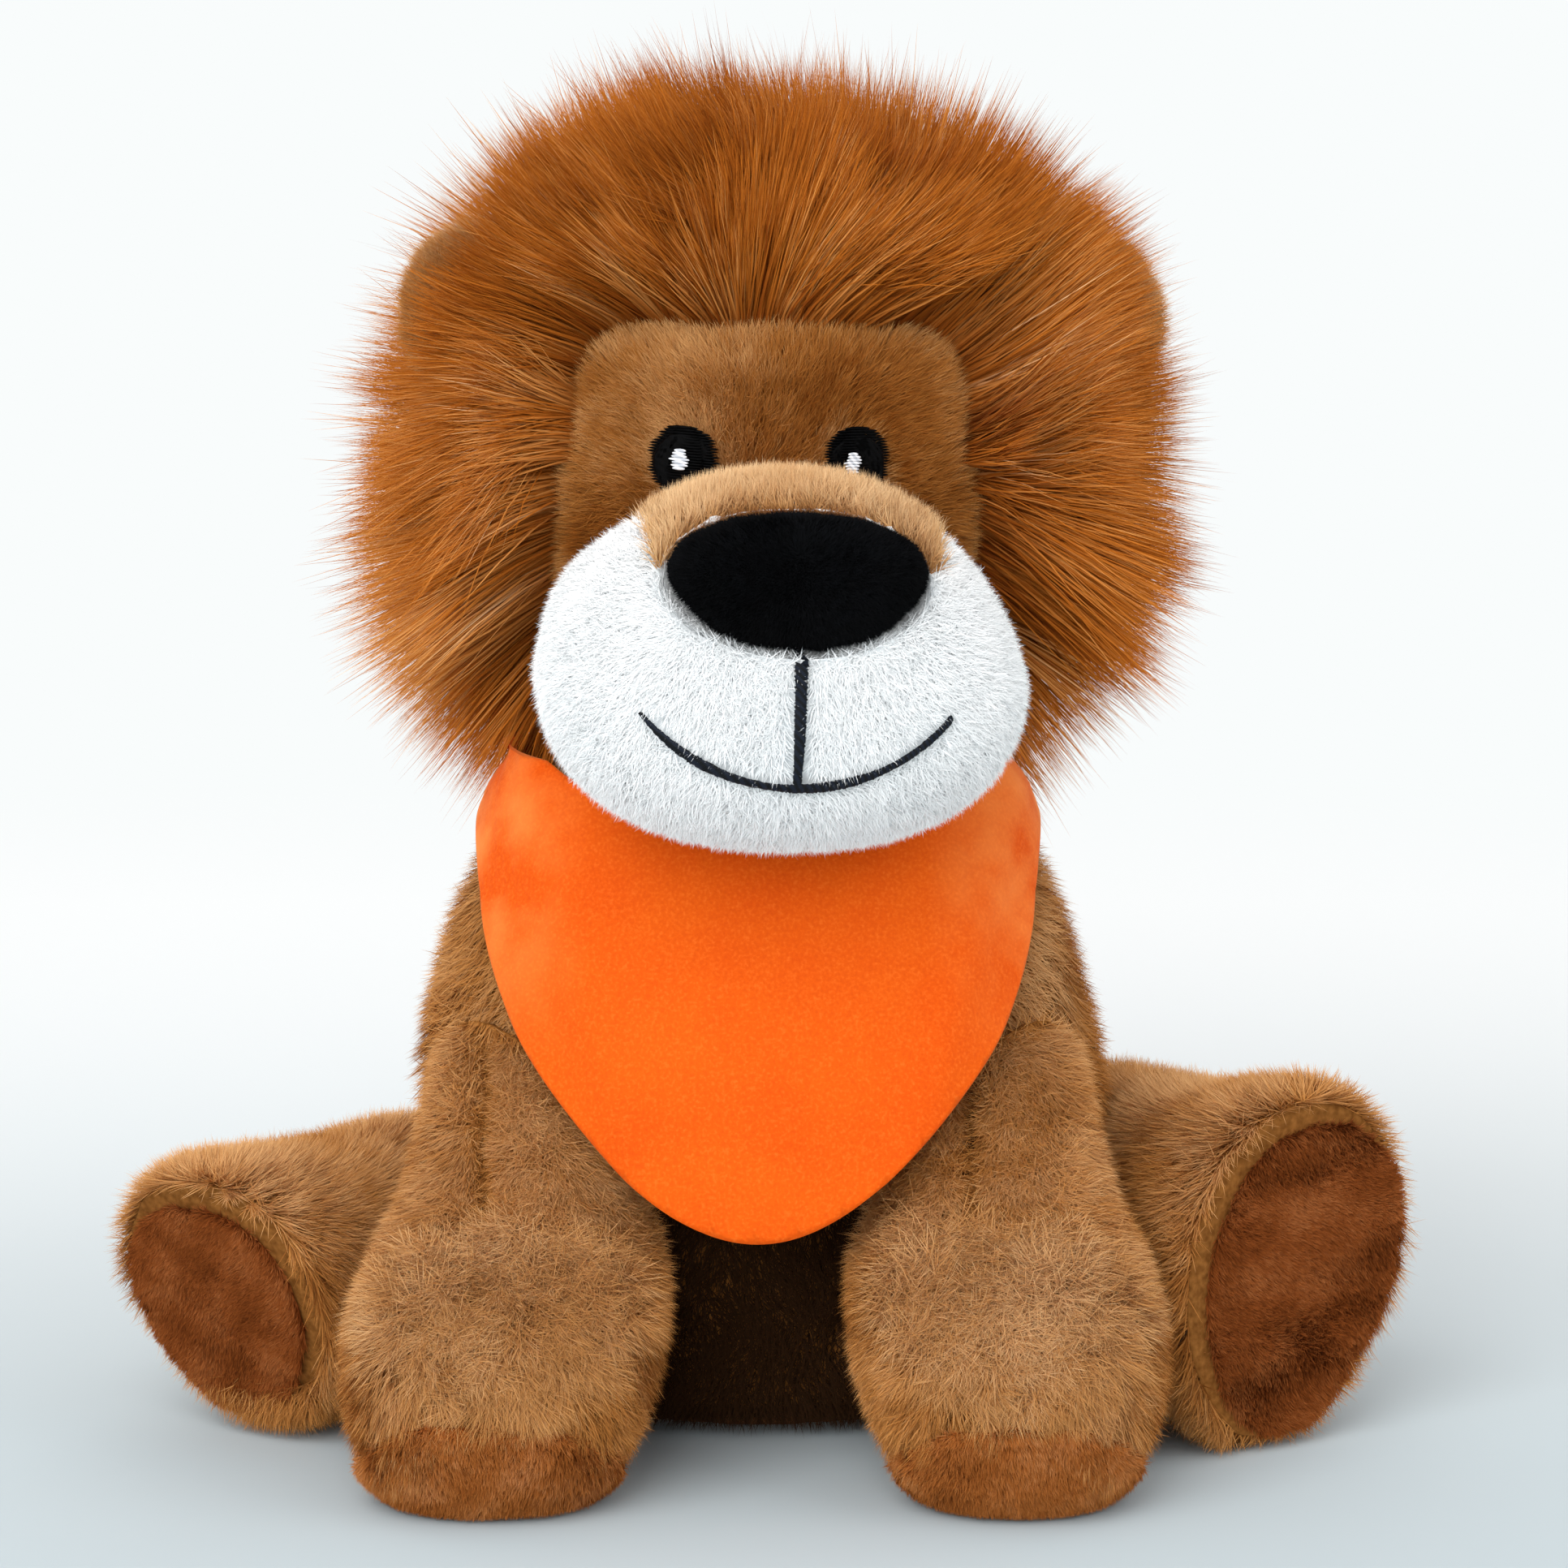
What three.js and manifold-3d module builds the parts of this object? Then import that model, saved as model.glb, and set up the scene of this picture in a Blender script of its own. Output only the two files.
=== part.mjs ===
// A seated plush lion, in millimetres. It faces -Y, +Z is up, and the origin is the middle of the
// flat seat. Every solid is the space that a sewn piece takes up with its pile brushed down.
import * as THREE from "three";
import { mergeVertices } from "three/addons/utils/BufferGeometryUtils.js";
import Module from "manifold-3d";

const wasm = await Module();
wasm.setup();

// Cloth, seams and clearances
const plushThickness = 4;
const stuffingSlack = 0.7;
const velvetThickness = 1.2;
const seamGap = 0.3;
const threadHeight = 0.9;
const restCut = 0.5;
const overrun = 30;

// Body
const bodyHeight = 110;
const bodyHalfWidth = 60;
const bodyHalfDepth = 41;
const seatHalfLength = 32;
const seatHalfDepth = 20;
const seatSetBack = 3;
const pelletBagHalfWidth = 36;
const pelletBagHalfDepth = 24;
const pelletBagHeight = 20;
const pelletBagSquareness = 2.6;
const bodySquareness = 2.25;

// Neck
const neckRadius = 20;
const neckPlugDepth = 8;
const neckRise = 2;
const neckHeight = bodyHeight + neckRise;
const headShift = -1;
const headTurn = THREE.MathUtils.degToRad(5);
const headRoll = THREE.MathUtils.degToRad(1.5);

// Head and muzzle
const skullHalfWidth = 40;
const skullHalfDepth = 38;
const skullRise = 80;
const skullDrop = 2;
const skullSquareness = 2.2;
const faceHalfWidth = 34;
const faceTop = 69;
const faceCorner = 15;
const muzzleHalfWidth = 38.5;
const muzzleReach = 82;
const muzzleHalfLength = 32;
const muzzleTop = 47.5;
const muzzleMiddle = 15;
const muzzleBottom = -12;
const muzzleSquareness = 2.3;
const bridgeTopHalfWidth = 27;
const bridgeBottomHalfWidth = 19;
const bridgeBottom = 34;
const noseHalfWidth = 19.5;
const noseTop = 42;
const noseBottom = 20.3;
const noseDepth = 24;
const noseBulge = 4;
const noseMiddleShare = 0.6;
const noseNarrowingShare = 0.42;

// Embroidery
const eyeSpacing = 26.5;
const eyeHeight = 45.3;
const eyeShift = -1.3;
const eyeHalfWidth = 5;
const eyeHalfHeight = 5.4;
const highlightHalfWidth = 1.4;
const highlightHalfHeight = 1.6;
const highlightInset = 0.7;
const lipLineWidth = 1.7;
const smileWidth = 1.5;
const smileRadius = 30.5;
const smileBottom = 2.8;
const smileHalfAngle = THREE.MathUtils.degToRad(49);

// Mane
const maneHalfWidth = 64;
const maneHalfDepth = 48;
const maneMiddleHeight = 46;
const maneHalfHeight = 56;
const maneShift = 4;
const maneSetBack = 10;
const maneBackStart = 22;
const maneSquareness = 2.3;
const underHeadRadius = 36;
const underHeadRise = 7;
const underManeRadius = 50;
const underManeDrop = 8;
const underManeSlope = 8;
const underMuzzleRadius = 45;
const underMuzzleSlope = 8;
const underMuzzleDrop = 14;

// Ears
const earHalfWidth = 15;
const earHalfLength = 15.2;
const earHalfThickness = 3.6;
const earShift = 3;
const earRootOut = 35;
const earRootBack = 5;
const earRootUp = 61;
const earTilt = THREE.MathUtils.degToRad(74);
const earYaw = THREE.MathUtils.degToRad(20);
const earPocketSide = 1.5;
const earPocketHalfDepth = 11.5;
const earPocketHalfLength = 26;
const earPocketSquareness = 3;
const earDishDepth = 3;
const earDishRim = 3.5;
const earLiningThickness = 1.4;

// Front legs
const frontLegHeight = 79;
const frontLegOut = 39;
const frontLegForward = 52;
const pawHalfWidth = 27;
const pawHalfDepth = 26;
const pawPadHalfWidth = 21.5;
const pawPadHalfLength = 25;
const pawPadRise = 20;
const pawPadTilt = THREE.MathUtils.degToRad(33);
const pawTopHalfWidth = 23;
const pawTopHeight = 46;

// Hind legs
const hipOut = 52;
const hipBack = 22;
const hindLegLength = 59;
const hindLegHalfWidth = 23;
const leftFootHalfHeight = 24;
const rightFootHalfHeight = 28.5;
const legGap = 2.2;
const hindLegYaw = THREE.MathUtils.degToRad(33);
const leftSoleLean = 8;
const rightSoleLean = -2;
const leftFootFanShare = 0.03;
const rightFootFanShare = 0.16;
const soleRim = 5.5;
const soleShiftOut = 2.2;
const soleShiftDown = 2;
const soleRecess = 1;
const soleThickness = 3;

// Tail
const tailLength = 52;
const tailRadius = 5.5;
const tailBend = 8;
const tailRootDepth = 1.5;
const tuftFront = 8;
const tuftBack = 21;
const tuftRadius = 10;

// Bandana
const bandanaDrop = 66;
const bandanaBelowNeck = 1;
const bandanaTop = bodyHeight - bandanaBelowNeck;
const bandanaStandOff = 0.6;
const bandanaDrape = 18;
const bandanaDrapeFall = 0.75;
const bandanaDrapeTurn = 0.4;
const bandanaNeckHalfWidth = 38;
const bandanaNeckHalfDepth = 24;
const knotHalfWidth = 9;
const knotHalfHeight = 6;
const knotHalfDepth = 4.5;

// Counts of sides and rings
const bodySides = 24;
const legSides = 16;
const tailSides = 8;
const headSides = 20;
const headRings = 12;
const maneSides = 20;
const maneRings = 12;
const smallSides = 12;
const smallRings = 6;
const arcSteps = 12;
const bandanaRows = 6;

// Body sections from the seat up, as shares of the body's height, half width and half depth,
// with how far the middle stands back as a share of the half depth.
const bodySectionShares = [
  [0.018, 0.75, 0.73, 0.08],
  [0.08, 0.9, 0.88, 0.15],
  [0.2, 0.985, 0.965, 0.18],
  [0.33, 1, 1, 0.17],
  [0.455, 0.99, 0.985, 0.12],
  [0.565, 0.95, 0.94, 0.06],
  [0.675, 0.9, 0.86, 0],
  [0.78, 0.84, 0.75, -0.07],
  [0.87, 0.75, 0.67, -0.1],
  [0.935, 0.67, 0.6, -0.1],
  [0.98, 0.58, 0.52, -0.09],
  [1, 0.45, 0.43, -0.08],
];
const seatSectionShare = [0.6, 0.57, 0.06];

// Front leg sections from the floor up: height, place outward, place forward, half width, half
// depth, as shares of the leg's height, of its own places and of the paw's half sizes.
const frontLegSectionShares = [
  [0.02, 1, 1, 0.62, 0.66],
  [0.075, 1, 1, 0.77, 0.82],
  [0.165, 1, 0.99, 0.89, 0.94],
  [0.27, 0.99, 0.96, 0.97, 0.99],
  [0.37, 0.975, 0.91, 0.99, 0.96],
  [0.47, 0.95, 0.82, 0.92, 0.86],
  [0.56, 0.93, 0.68, 0.79, 0.69],
  [0.66, 0.905, 0.57, 0.75, 0.62],
  [0.78, 0.87, 0.46, 0.74, 0.56],
  [0.89, 0.84, 0.37, 0.66, 0.44],
  [0.97, 0.83, 0.32, 0.42, 0.28],
];
const frontLegSoleShare = [1, 1, 0.5, 0.54];

// Hind leg sections from the hip to the sole: share of the length, of the half width and of the
// half height.
const hindLegSectionShares = [
  [-0.3, 0.55, 0.5],
  [-0.15, 0.85, 0.78],
  [0.1, 0.98, 0.88],
  [0.4, 0.97, 0.88],
  [0.65, 0.99, 0.94],
  [0.85, 1, 1],
  [0.96, 0.97, 0.97],
  [1, 0.86, 0.88],
];
const soleTaperShare = 0.2;

// Tail sections: place along the tail and share of its radius
const tailSectionShares = [
  [0, 0.3],
  [0.03, 0.7],
  [0.09, 0.95],
  [0.35, 1],
  [0.7, 1],
  [1, 0.95],
];
const muzzleTaperShare = 0.22;

// The bandana's edges round the neck, from the middle of the front to the nape: angle in
// degrees, then heights of the upper and the lower edge as shares of the bandana's drop, down
// from its top.
const bandanaEdgeShares = [
  [0, 0.12, 1.05],
  [6, 0.12, 1.035],
  [12.5, 0.12, 0.985],
  [18.6, 0.11, 0.91],
  [25, 0.11, 0.825],
  [31.4, 0.105, 0.74],
  [38, 0.1, 0.655],
  [44, 0.09, 0.575],
  [52, 0.07, 0.45],
  [60, 0.045, 0.335],
  [68, 0.02, 0.25],
  [78, 0, 0.19],
  [92, 0, 0.165],
  [108, 0.005, 0.155],
  [126, 0.015, 0.15],
  [144, 0.02, 0.145],
  [160, 0.025, 0.14],
  [172, 0.025, 0.14],
];

function mesh(name, geometry, color, roughness) {
  const material = new THREE.MeshStandardMaterial({ color, roughness, metalness: 0 });
  const made = new THREE.Mesh(geometry, material);
  made.name = name;
  return made;
}

// Closed solids and what joins and cuts them

function bare(geometry) {
  const plain = geometry.clone();
  plain.deleteAttribute("normal");
  plain.deleteAttribute("uv");
  return mergeVertices(plain);
}

function solid(geometry) {
  const merged = bare(geometry);
  const vertProperties = new Float32Array(merged.attributes.position.array);
  const triVerts = new Uint32Array(merged.index.array);
  return new wasm.Manifold(new wasm.Mesh({ numProp: 3, vertProperties, triVerts }));
}

function surface(made) {
  const found = made.getMesh();
  const count = found.vertProperties.length / found.numProp;
  const places = new Float32Array(count * 3);
  for (let i = 0; i < count; i += 1) {
    const start = i * found.numProp;
    places.set(found.vertProperties.subarray(start, start + 3), i * 3);
  }
  const geometry = new THREE.BufferGeometry();
  geometry.setAttribute("position", new THREE.BufferAttribute(places, 3));
  geometry.setIndex(new THREE.BufferAttribute(new Uint32Array(found.triVerts), 1));
  return geometry;
}

// Moves every point of a closed form inward along its normal, or outward for a negative distance.
function inset(geometry, distance) {
  const moved = bare(geometry);
  moved.computeVertexNormals();
  const { position, normal } = moved.attributes;
  for (let i = 0; i < position.count; i += 1) {
    position.setXYZ(
      i,
      position.getX(i) - distance * normal.getX(i),
      position.getY(i) - distance * normal.getY(i),
      position.getZ(i) - distance * normal.getZ(i),
    );
  }
  return moved;
}

function mirrored(geometry) {
  const turned = bare(geometry).scale(-1, 1, 1);
  const corners = turned.index.array;
  for (let i = 0; i < corners.length; i += 3) {
    const kept = corners[i + 1];
    corners[i + 1] = corners[i + 2];
    corners[i + 2] = kept;
  }
  return turned;
}

// Forms that swell and taper

function ring(middle, halfWidth, halfDepth, sides, squareness) {
  return Array.from({ length: sides }, (_, i) => {
    const angle = (2 * Math.PI * i) / sides;
    const across = Math.cos(angle);
    const along = Math.sin(angle);
    const reach = Math.pow(
      Math.pow(Math.abs(across), squareness) + Math.pow(Math.abs(along), squareness),
      -1 / squareness,
    );
    return new THREE.Vector3(
      middle.x + halfWidth * reach * across,
      middle.y + halfDepth * reach * along,
      middle.z,
    );
  });
}

function stacked(rings) {
  const sides = rings[0].length;
  const points = rings.flat();
  const faces = [];
  for (let r = 0; r + 1 < rings.length; r += 1) {
    for (let s = 0; s < sides; s += 1) {
      const here = r * sides + s;
      const next = r * sides + ((s + 1) % sides);
      faces.push(here, next, next + sides, here, next + sides, here + sides);
    }
  }
  const lowest = points.length;
  const highest = lowest + 1;
  const middleOf = (loop) =>
    loop.reduce((sum, p) => sum.add(p), new THREE.Vector3()).divideScalar(loop.length);
  points.push(middleOf(rings[0]), middleOf(rings.at(-1)));
  const top = (rings.length - 1) * sides;
  for (let s = 0; s < sides; s += 1) {
    const next = (s + 1) % sides;
    faces.push(lowest, next, s, highest, top + s, top + next);
  }
  const geometry = new THREE.BufferGeometry().setFromPoints(points);
  geometry.setIndex(faces);
  return geometry;
}

// A ball drawn out by different amounts to each side, boxier with a higher squareness.
function drawnBall({ middle, width, front, back, up, down, squareness = 2, sides, rings, taper = 0 }) {
  const geometry = bare(new THREE.SphereGeometry(1, sides, rings));
  geometry.rotateX(Math.PI / 2);
  const { position } = geometry.attributes;
  for (let i = 0; i < position.count; i += 1) {
    const p = new THREE.Vector3().fromBufferAttribute(position, i);
    const reach = Math.pow(
      Math.pow(Math.abs(p.x), squareness) +
        Math.pow(Math.abs(p.y), squareness) +
        Math.pow(Math.abs(p.z), squareness),
      -1 / squareness,
    );
    p.multiplyScalar(reach);
    const narrowing = 1 - taper * Math.max(0, p.z);
    position.setXYZ(
      i,
      middle.x + p.x * width * narrowing,
      middle.y + p.y * (p.y < 0 ? front : back),
      middle.z + p.z * (p.z < 0 ? down : up),
    );
  }
  return geometry;
}

// Cutters

// A flat outline in x and z, made solid from one depth to another.
function frontPrism(outline, from, to) {
  const geometry = new THREE.ExtrudeGeometry(outline, {
    depth: to - from,
    bevelEnabled: false,
    curveSegments: arcSteps,
  });
  geometry.rotateX(Math.PI / 2);
  geometry.translate(0, to, 0);
  return geometry;
}

function ovalOutline(x, y, halfWidth, halfHeight) {
  return new THREE.Shape(
    new THREE.EllipseCurve(x, y, halfWidth, halfHeight, 0, 2 * Math.PI).getPoints(2 * arcSteps).slice(1),
  );
}

function block(low, high) {
  const geometry = new THREE.BoxGeometry(high.x - low.x, high.y - low.y, high.z - low.z);
  geometry.translate((low.x + high.x) / 2, (low.y + high.y) / 2, (low.z + high.z) / 2);
  return geometry;
}

const stuffingDepth = plushThickness + seamGap + stuffingSlack;
const farAway = bodyHeight + skullRise + overrun;
const aboveFloor = solid(
  block(new THREE.Vector3(-farAway, -farAway, 0), new THREE.Vector3(farAway, farAway, 2 * farAway)),
);

// Body: one cover with a seat panel sewn in below and an open neck above

const bodySections = [
  {
    z: -restCut,
    width: bodyHalfWidth * seatSectionShare[0],
    depth: bodyHalfDepth * seatSectionShare[1],
    y: bodyHalfDepth * seatSectionShare[2],
  },
  ...bodySectionShares.map(([height, width, depth, back]) => ({
    z: bodyHeight * height,
    width: bodyHalfWidth * width,
    depth: bodyHalfDepth * depth,
    y: bodyHalfDepth * back,
  })),
];

function bodyOf(sides) {
  return stacked(
    bodySections.map((s) =>
      ring(new THREE.Vector3(0, s.y, s.z), s.width, s.depth, sides, bodySquareness),
    ),
  );
}

const bodyForm = bodyOf(bodySides);
const bodySolid = solid(bodyForm).intersect(aboveFloor);
const bodyRoom = solid(inset(bodyForm, -seamGap));

function uprightColumn(outline, from, to) {
  const geometry = new THREE.ExtrudeGeometry(outline, { depth: to - from, bevelEnabled: false });
  geometry.translate(0, 0, from);
  return geometry;
}

const neckRoom = solid(
  uprightColumn(
    ovalOutline(headShift, 0, neckRadius + seamGap, neckRadius + seamGap),
    neckHeight - neckPlugDepth - seamGap,
    farAway,
  ),
);
const seatOutline = ovalOutline(0, seatSetBack, seatHalfLength, seatHalfDepth);
const seatRoomOutline = ovalOutline(
  0,
  seatSetBack,
  seatHalfLength + seamGap,
  seatHalfDepth + seamGap,
);
const seatPanel = uprightColumn(seatOutline, 0, plushThickness);
const seatRoom = solid(uprightColumn(seatRoomOutline, -overrun, plushThickness + seamGap));
const pelletBag = drawnBall({
  middle: new THREE.Vector3(0, seatSetBack, plushThickness + seamGap + pelletBagHeight / 2),
  width: pelletBagHalfWidth,
  front: pelletBagHalfDepth,
  back: pelletBagHalfDepth,
  up: pelletBagHeight / 2,
  down: pelletBagHeight / 2,
  squareness: pelletBagSquareness,
  sides: smallSides,
  rings: smallRings,
});
const pelletBagFoot = solid(
  uprightColumn(seatOutline, -overrun, plushThickness + seamGap + restCut),
);
const bodyInside = solid(inset(bodyForm, plushThickness));
const bodyCover = bodySolid.subtract(bodyInside).subtract(neckRoom).subtract(seatRoom);
const bodyStuffing = solid(inset(bodyOf(bodySides / 2), stuffingDepth))
  .subtract(neckRoom)
  .subtract(solid(inset(pelletBag, -seamGap)))
  .subtract(seatRoom);

const body = new THREE.Group();
body.add(
  mesh("body_cover", surface(bodyCover), 0xa8743f, 0.95),
  mesh("body_stuffing", surface(bodyStuffing), 0xf2efe8, 1),
  mesh("pellet_bag", surface(solid(pelletBag).subtract(pelletBagFoot)), 0xd8d8d0, 0.9),
  mesh("seat_panel", seatPanel, 0x8a5426, 0.95),
);

// Front legs: sleeve, paw-top panel and sole pad round a firm stuffing

function frontLegOf(sides) {
  const loop = (height, [out, forward, width, depth]) =>
    ring(
      new THREE.Vector3(frontLegOut * out, -frontLegForward * forward, height),
      pawHalfWidth * width,
      pawHalfDepth * depth,
      sides,
      bodySquareness,
    );
  const upper = frontLegSectionShares.map(([height, ...rest]) => loop(frontLegHeight * height, rest));
  return stacked([loop(-restCut, frontLegSoleShare), ...upper]);
}

function frontLegParts() {
  const form = frontLegOf(legSides);
  const sleeve = solid(form)
    .intersect(aboveFloor)
    .subtract(bodyRoom)
    .subtract(solid(inset(form, plushThickness)));
  const stuffing = solid(inset(frontLegOf(legSides / 2), stuffingDepth)).subtract(
    solid(inset(bodyForm, -2 * seamGap)),
  );
  const padPrism = (allowance) => {
    const width = pawPadHalfWidth + allowance;
    const outline = ovalOutline(frontLegOut, -frontLegForward, width, pawPadHalfLength + allowance);
    const slope = block(
      new THREE.Vector3(-farAway, -farAway, -farAway),
      new THREE.Vector3(farAway, farAway, allowance),
    );
    slope.rotateX(-pawPadTilt);
    slope.translate(0, -frontLegForward - pawHalfDepth, pawPadRise);
    return solid(uprightColumn(outline, -overrun, overrun)).intersect(solid(slope));
  };
  const topPrism = (allowance) => {
    const middle = (pawPadRise + pawTopHeight) / 2;
    const halfHeight = pawTopHeight - middle;
    const width = pawTopHalfWidth + allowance;
    const outline = ovalOutline(frontLegOut, middle, width, halfHeight + allowance);
    return solid(frontPrism(outline, -farAway, -frontLegForward));
  };
  const pad = sleeve.intersect(padPrism(0));
  const upper = sleeve.subtract(padPrism(seamGap));
  const pawTop = upper.intersect(topPrism(0));
  return { sleeve: upper.subtract(topPrism(seamGap)), pad, pawTop, stuffing, form };
}

const frontLeg = frontLegParts();

function addFrontLeg(name, place) {
  const group = new THREE.Group();
  group.add(
    mesh(`${name}_sleeve`, place(surface(frontLeg.sleeve)), 0xa8743f, 0.95),
    mesh(`${name}_paw_top`, place(surface(frontLeg.pawTop)), 0xb27f4a, 0.95),
    mesh(`${name}_paw_pad`, place(surface(frontLeg.pad)), 0x9a4e22, 0.9),
    mesh(`${name}_stuffing`, place(surface(frontLeg.stuffing)), 0xf2efe8, 1),
  );
  return group;
}

// Hind legs: each lies forward and outward, with its sole closing the open end of the sleeve

function hindLegOf(sides, halfHeight, lean, fan) {
  return hindLegSectionShares.map(([along, width, height]) => {
    const loop = ring(
      new THREE.Vector3(0, 0, hindLegLength * along),
      hindLegHalfWidth * width,
      halfHeight * height,
      sides,
      bodySquareness,
    );
    return loop.map((p) => {
      const low = Math.max(0, -p.y / halfHeight);
      const toFoot = Math.max(0, along);
      const tipped = lean * toFoot * (p.y / halfHeight);
      const fanned = fan * toFoot * p.y;
      return new THREE.Vector3(p.x * (1 - soleTaperShare * low) + fanned, p.y, p.z + tipped);
    });
  });
}

function hindLegParts(halfHeight, lean, fan) {
  const sections = hindLegOf(legSides, halfHeight, lean, fan);
  const lie = (geometry) =>
    geometry
      .rotateX(Math.PI / 2)
      .rotateZ(hindLegYaw)
      .translate(hipOut, hipBack, halfHeight - restCut);
  const form = lie(stacked(sections));
  const filled = lie(stacked(hindLegOf(legSides / 2, halfHeight, lean, fan)));
  const soleColumn = (allowance, from, to) => {
    const rim = sections.at(-2).map((p) => {
      const share = 1 - (soleRim - allowance) / Math.hypot(p.x, p.y);
      const tipped = lean * (p.y / halfHeight) * share;
      return new THREE.Vector3(p.x * share, p.y * share, hindLegLength + tipped);
    });
    const level = (p, z) => new THREE.Vector3(p.x + soleShiftOut, p.y - soleShiftDown, p.z + z);
    const inner = rim.map((p) => level(p, from));
    const outer = rim.map((p) => level(p, to));
    return solid(lie(stacked([inner, outer])));
  };
  const neighbours = solid(inset(frontLeg.form, -legGap));
  const mouth = soleColumn(seamGap, -soleThickness - seamGap, overrun);
  const whole = solid(form).intersect(aboveFloor).subtract(bodyRoom).subtract(neighbours);
  const sleeve = whole.subtract(solid(inset(form, plushThickness))).subtract(mouth);
  const sole = soleColumn(0, -soleThickness, -soleRecess).intersect(aboveFloor);
  const stuffing = solid(inset(filled, stuffingDepth))
    .subtract(solid(inset(bodyForm, -2 * seamGap)))
    .subtract(mouth)
    .subtract(neighbours);
  return { sleeve, sole, stuffing };
}

function addHindLeg(name, halfHeight, lean, fan, place) {
  const parts = hindLegParts(halfHeight, lean, fan);
  const group = new THREE.Group();
  group.add(
    mesh(`${name}_sleeve`, place(surface(parts.sleeve)), 0xa8743f, 0.95),
    mesh(`${name}_sole`, place(surface(parts.sole)), 0x7a3a18, 0.9),
    mesh(`${name}_stuffing`, place(surface(parts.stuffing)), 0xf2efe8, 1),
  );
  return group;
}

// Tail: a slim sleeve behind the seat, with a tuft

const [, , tailLevelDepth, tailLevelBack] = bodySectionShares[1];
const tailStart = bodyHalfDepth * (tailLevelDepth + tailLevelBack) - tailRootDepth;
const tailRoute = new THREE.QuadraticBezierCurve3(
  new THREE.Vector3(0, tailStart, tailRadius - restCut),
  new THREE.Vector3(0, tailStart + tailLength / 2, tailRadius - restCut),
  new THREE.Vector3(tailBend, tailStart + tailLength, tailRadius - restCut),
);
const tailSections = tailSectionShares.map(([place, share]) => {
  const at = tailRoute.getPoint(place);
  const along = tailRoute.getTangent(place);
  const facing = new THREE.Quaternion().setFromUnitVectors(new THREE.Vector3(0, 0, 1), along);
  return ring(new THREE.Vector3(), tailRadius * share, tailRadius * share, tailSides, 2).map((p) =>
    p.applyQuaternion(facing).add(at),
  );
});
const tailEnd = tailRoute.getPoint(1);
const tuftForm = drawnBall({
  middle: new THREE.Vector3(tailEnd.x, tailEnd.y, tuftRadius - restCut),
  width: tuftRadius,
  front: tuftFront,
  back: tuftBack,
  up: tuftRadius,
  down: tuftRadius,
  sides: smallSides,
  rings: smallRings,
});
const tuftSolid = solid(tuftForm).intersect(aboveFloor);
const tailSleeve = solid(stacked(tailSections))
  .intersect(aboveFloor)
  .subtract(bodyRoom)
  .subtract(solid(inset(tuftForm, -seamGap)));
const tail = new THREE.Group();
tail.add(
  mesh("tail_sleeve", surface(tailSleeve), 0xa8743f, 0.95),
  mesh("tail_tuft", surface(tuftSolid), 0xa85f1e, 0.95),
);

// Neck: a plug of stuffing with a round top that the head turns and nods on

const domeProfile = Array.from({ length: arcSteps / 2 + 1 }, (_, i) => {
  const angle = (Math.PI * i) / arcSteps;
  return new THREE.Vector2(neckRadius * Math.cos(angle), neckRadius * Math.sin(angle));
});
domeProfile[domeProfile.length - 1].x = 0;
const neckPlug = new THREE.LatheGeometry(
  [new THREE.Vector2(0, -neckPlugDepth), new THREE.Vector2(neckRadius, -neckPlugDepth), ...domeProfile],
  2 * arcSteps,
);
neckPlug.rotateX(Math.PI / 2);
const neck = new THREE.Group();
neck.position.set(headShift, 0, neckHeight);
neck.add(mesh("neck_plug", neckPlug, 0xf2efe8, 1));

// Head, in its own frame: the origin is the middle of the neck's round top

function skullOf(sides, rings) {
  return drawnBall({
    middle: new THREE.Vector3(0, 0, (skullRise - skullDrop) / 2),
    width: skullHalfWidth,
    front: skullHalfDepth,
    back: skullHalfDepth,
    up: (skullRise + skullDrop) / 2,
    down: (skullRise + skullDrop) / 2,
    squareness: skullSquareness,
    sides,
    rings,
  });
}

function muzzleOf(sides, rings) {
  return drawnBall({
    middle: new THREE.Vector3(0, muzzleHalfLength - muzzleReach, muzzleMiddle),
    width: muzzleHalfWidth,
    front: muzzleHalfLength,
    back: muzzleHalfLength,
    up: muzzleTop - muzzleMiddle,
    down: muzzleMiddle - muzzleBottom,
    squareness: muzzleSquareness,
    sides,
    rings,
    taper: muzzleTaperShare,
  });
}

const skullForm = skullOf(headSides, headRings);
const muzzleForm = muzzleOf(headSides, headRings);
const underHead = solid(
  new THREE.LatheGeometry(
    [
      new THREE.Vector2(0, -farAway),
      new THREE.Vector2(farAway, -farAway),
      new THREE.Vector2(farAway, -underManeDrop),
      new THREE.Vector2(underManeRadius + underManeSlope, -underManeDrop),
      new THREE.Vector2(underManeRadius, 0),
      new THREE.Vector2(underHeadRadius + underHeadRise, 0),
      new THREE.Vector2(underHeadRadius, underHeadRise),
      new THREE.Vector2(0, underHeadRise),
    ],
    2 * arcSteps,
  ).rotateX(Math.PI / 2),
);
const underMuzzle = (rise) =>
  solid(
    new THREE.LatheGeometry(
      [
        new THREE.Vector2(0, -farAway),
        new THREE.Vector2(underMuzzleRadius + underMuzzleSlope, -farAway),
        new THREE.Vector2(underMuzzleRadius + underMuzzleSlope, rise - underMuzzleDrop),
        new THREE.Vector2(underMuzzleRadius, rise),
        new THREE.Vector2(0, rise),
      ],
      2 * arcSteps,
    ).rotateX(Math.PI / 2),
  );
const neckPocket = solid(
  new THREE.SphereGeometry(neckRadius + 2 * seamGap, 2 * arcSteps, arcSteps).rotateX(Math.PI / 2),
);
const skullRoom = solid(inset(skullForm, -seamGap));

// Face: a brown panel on the forehead and cheeks, framed by the mane

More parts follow.
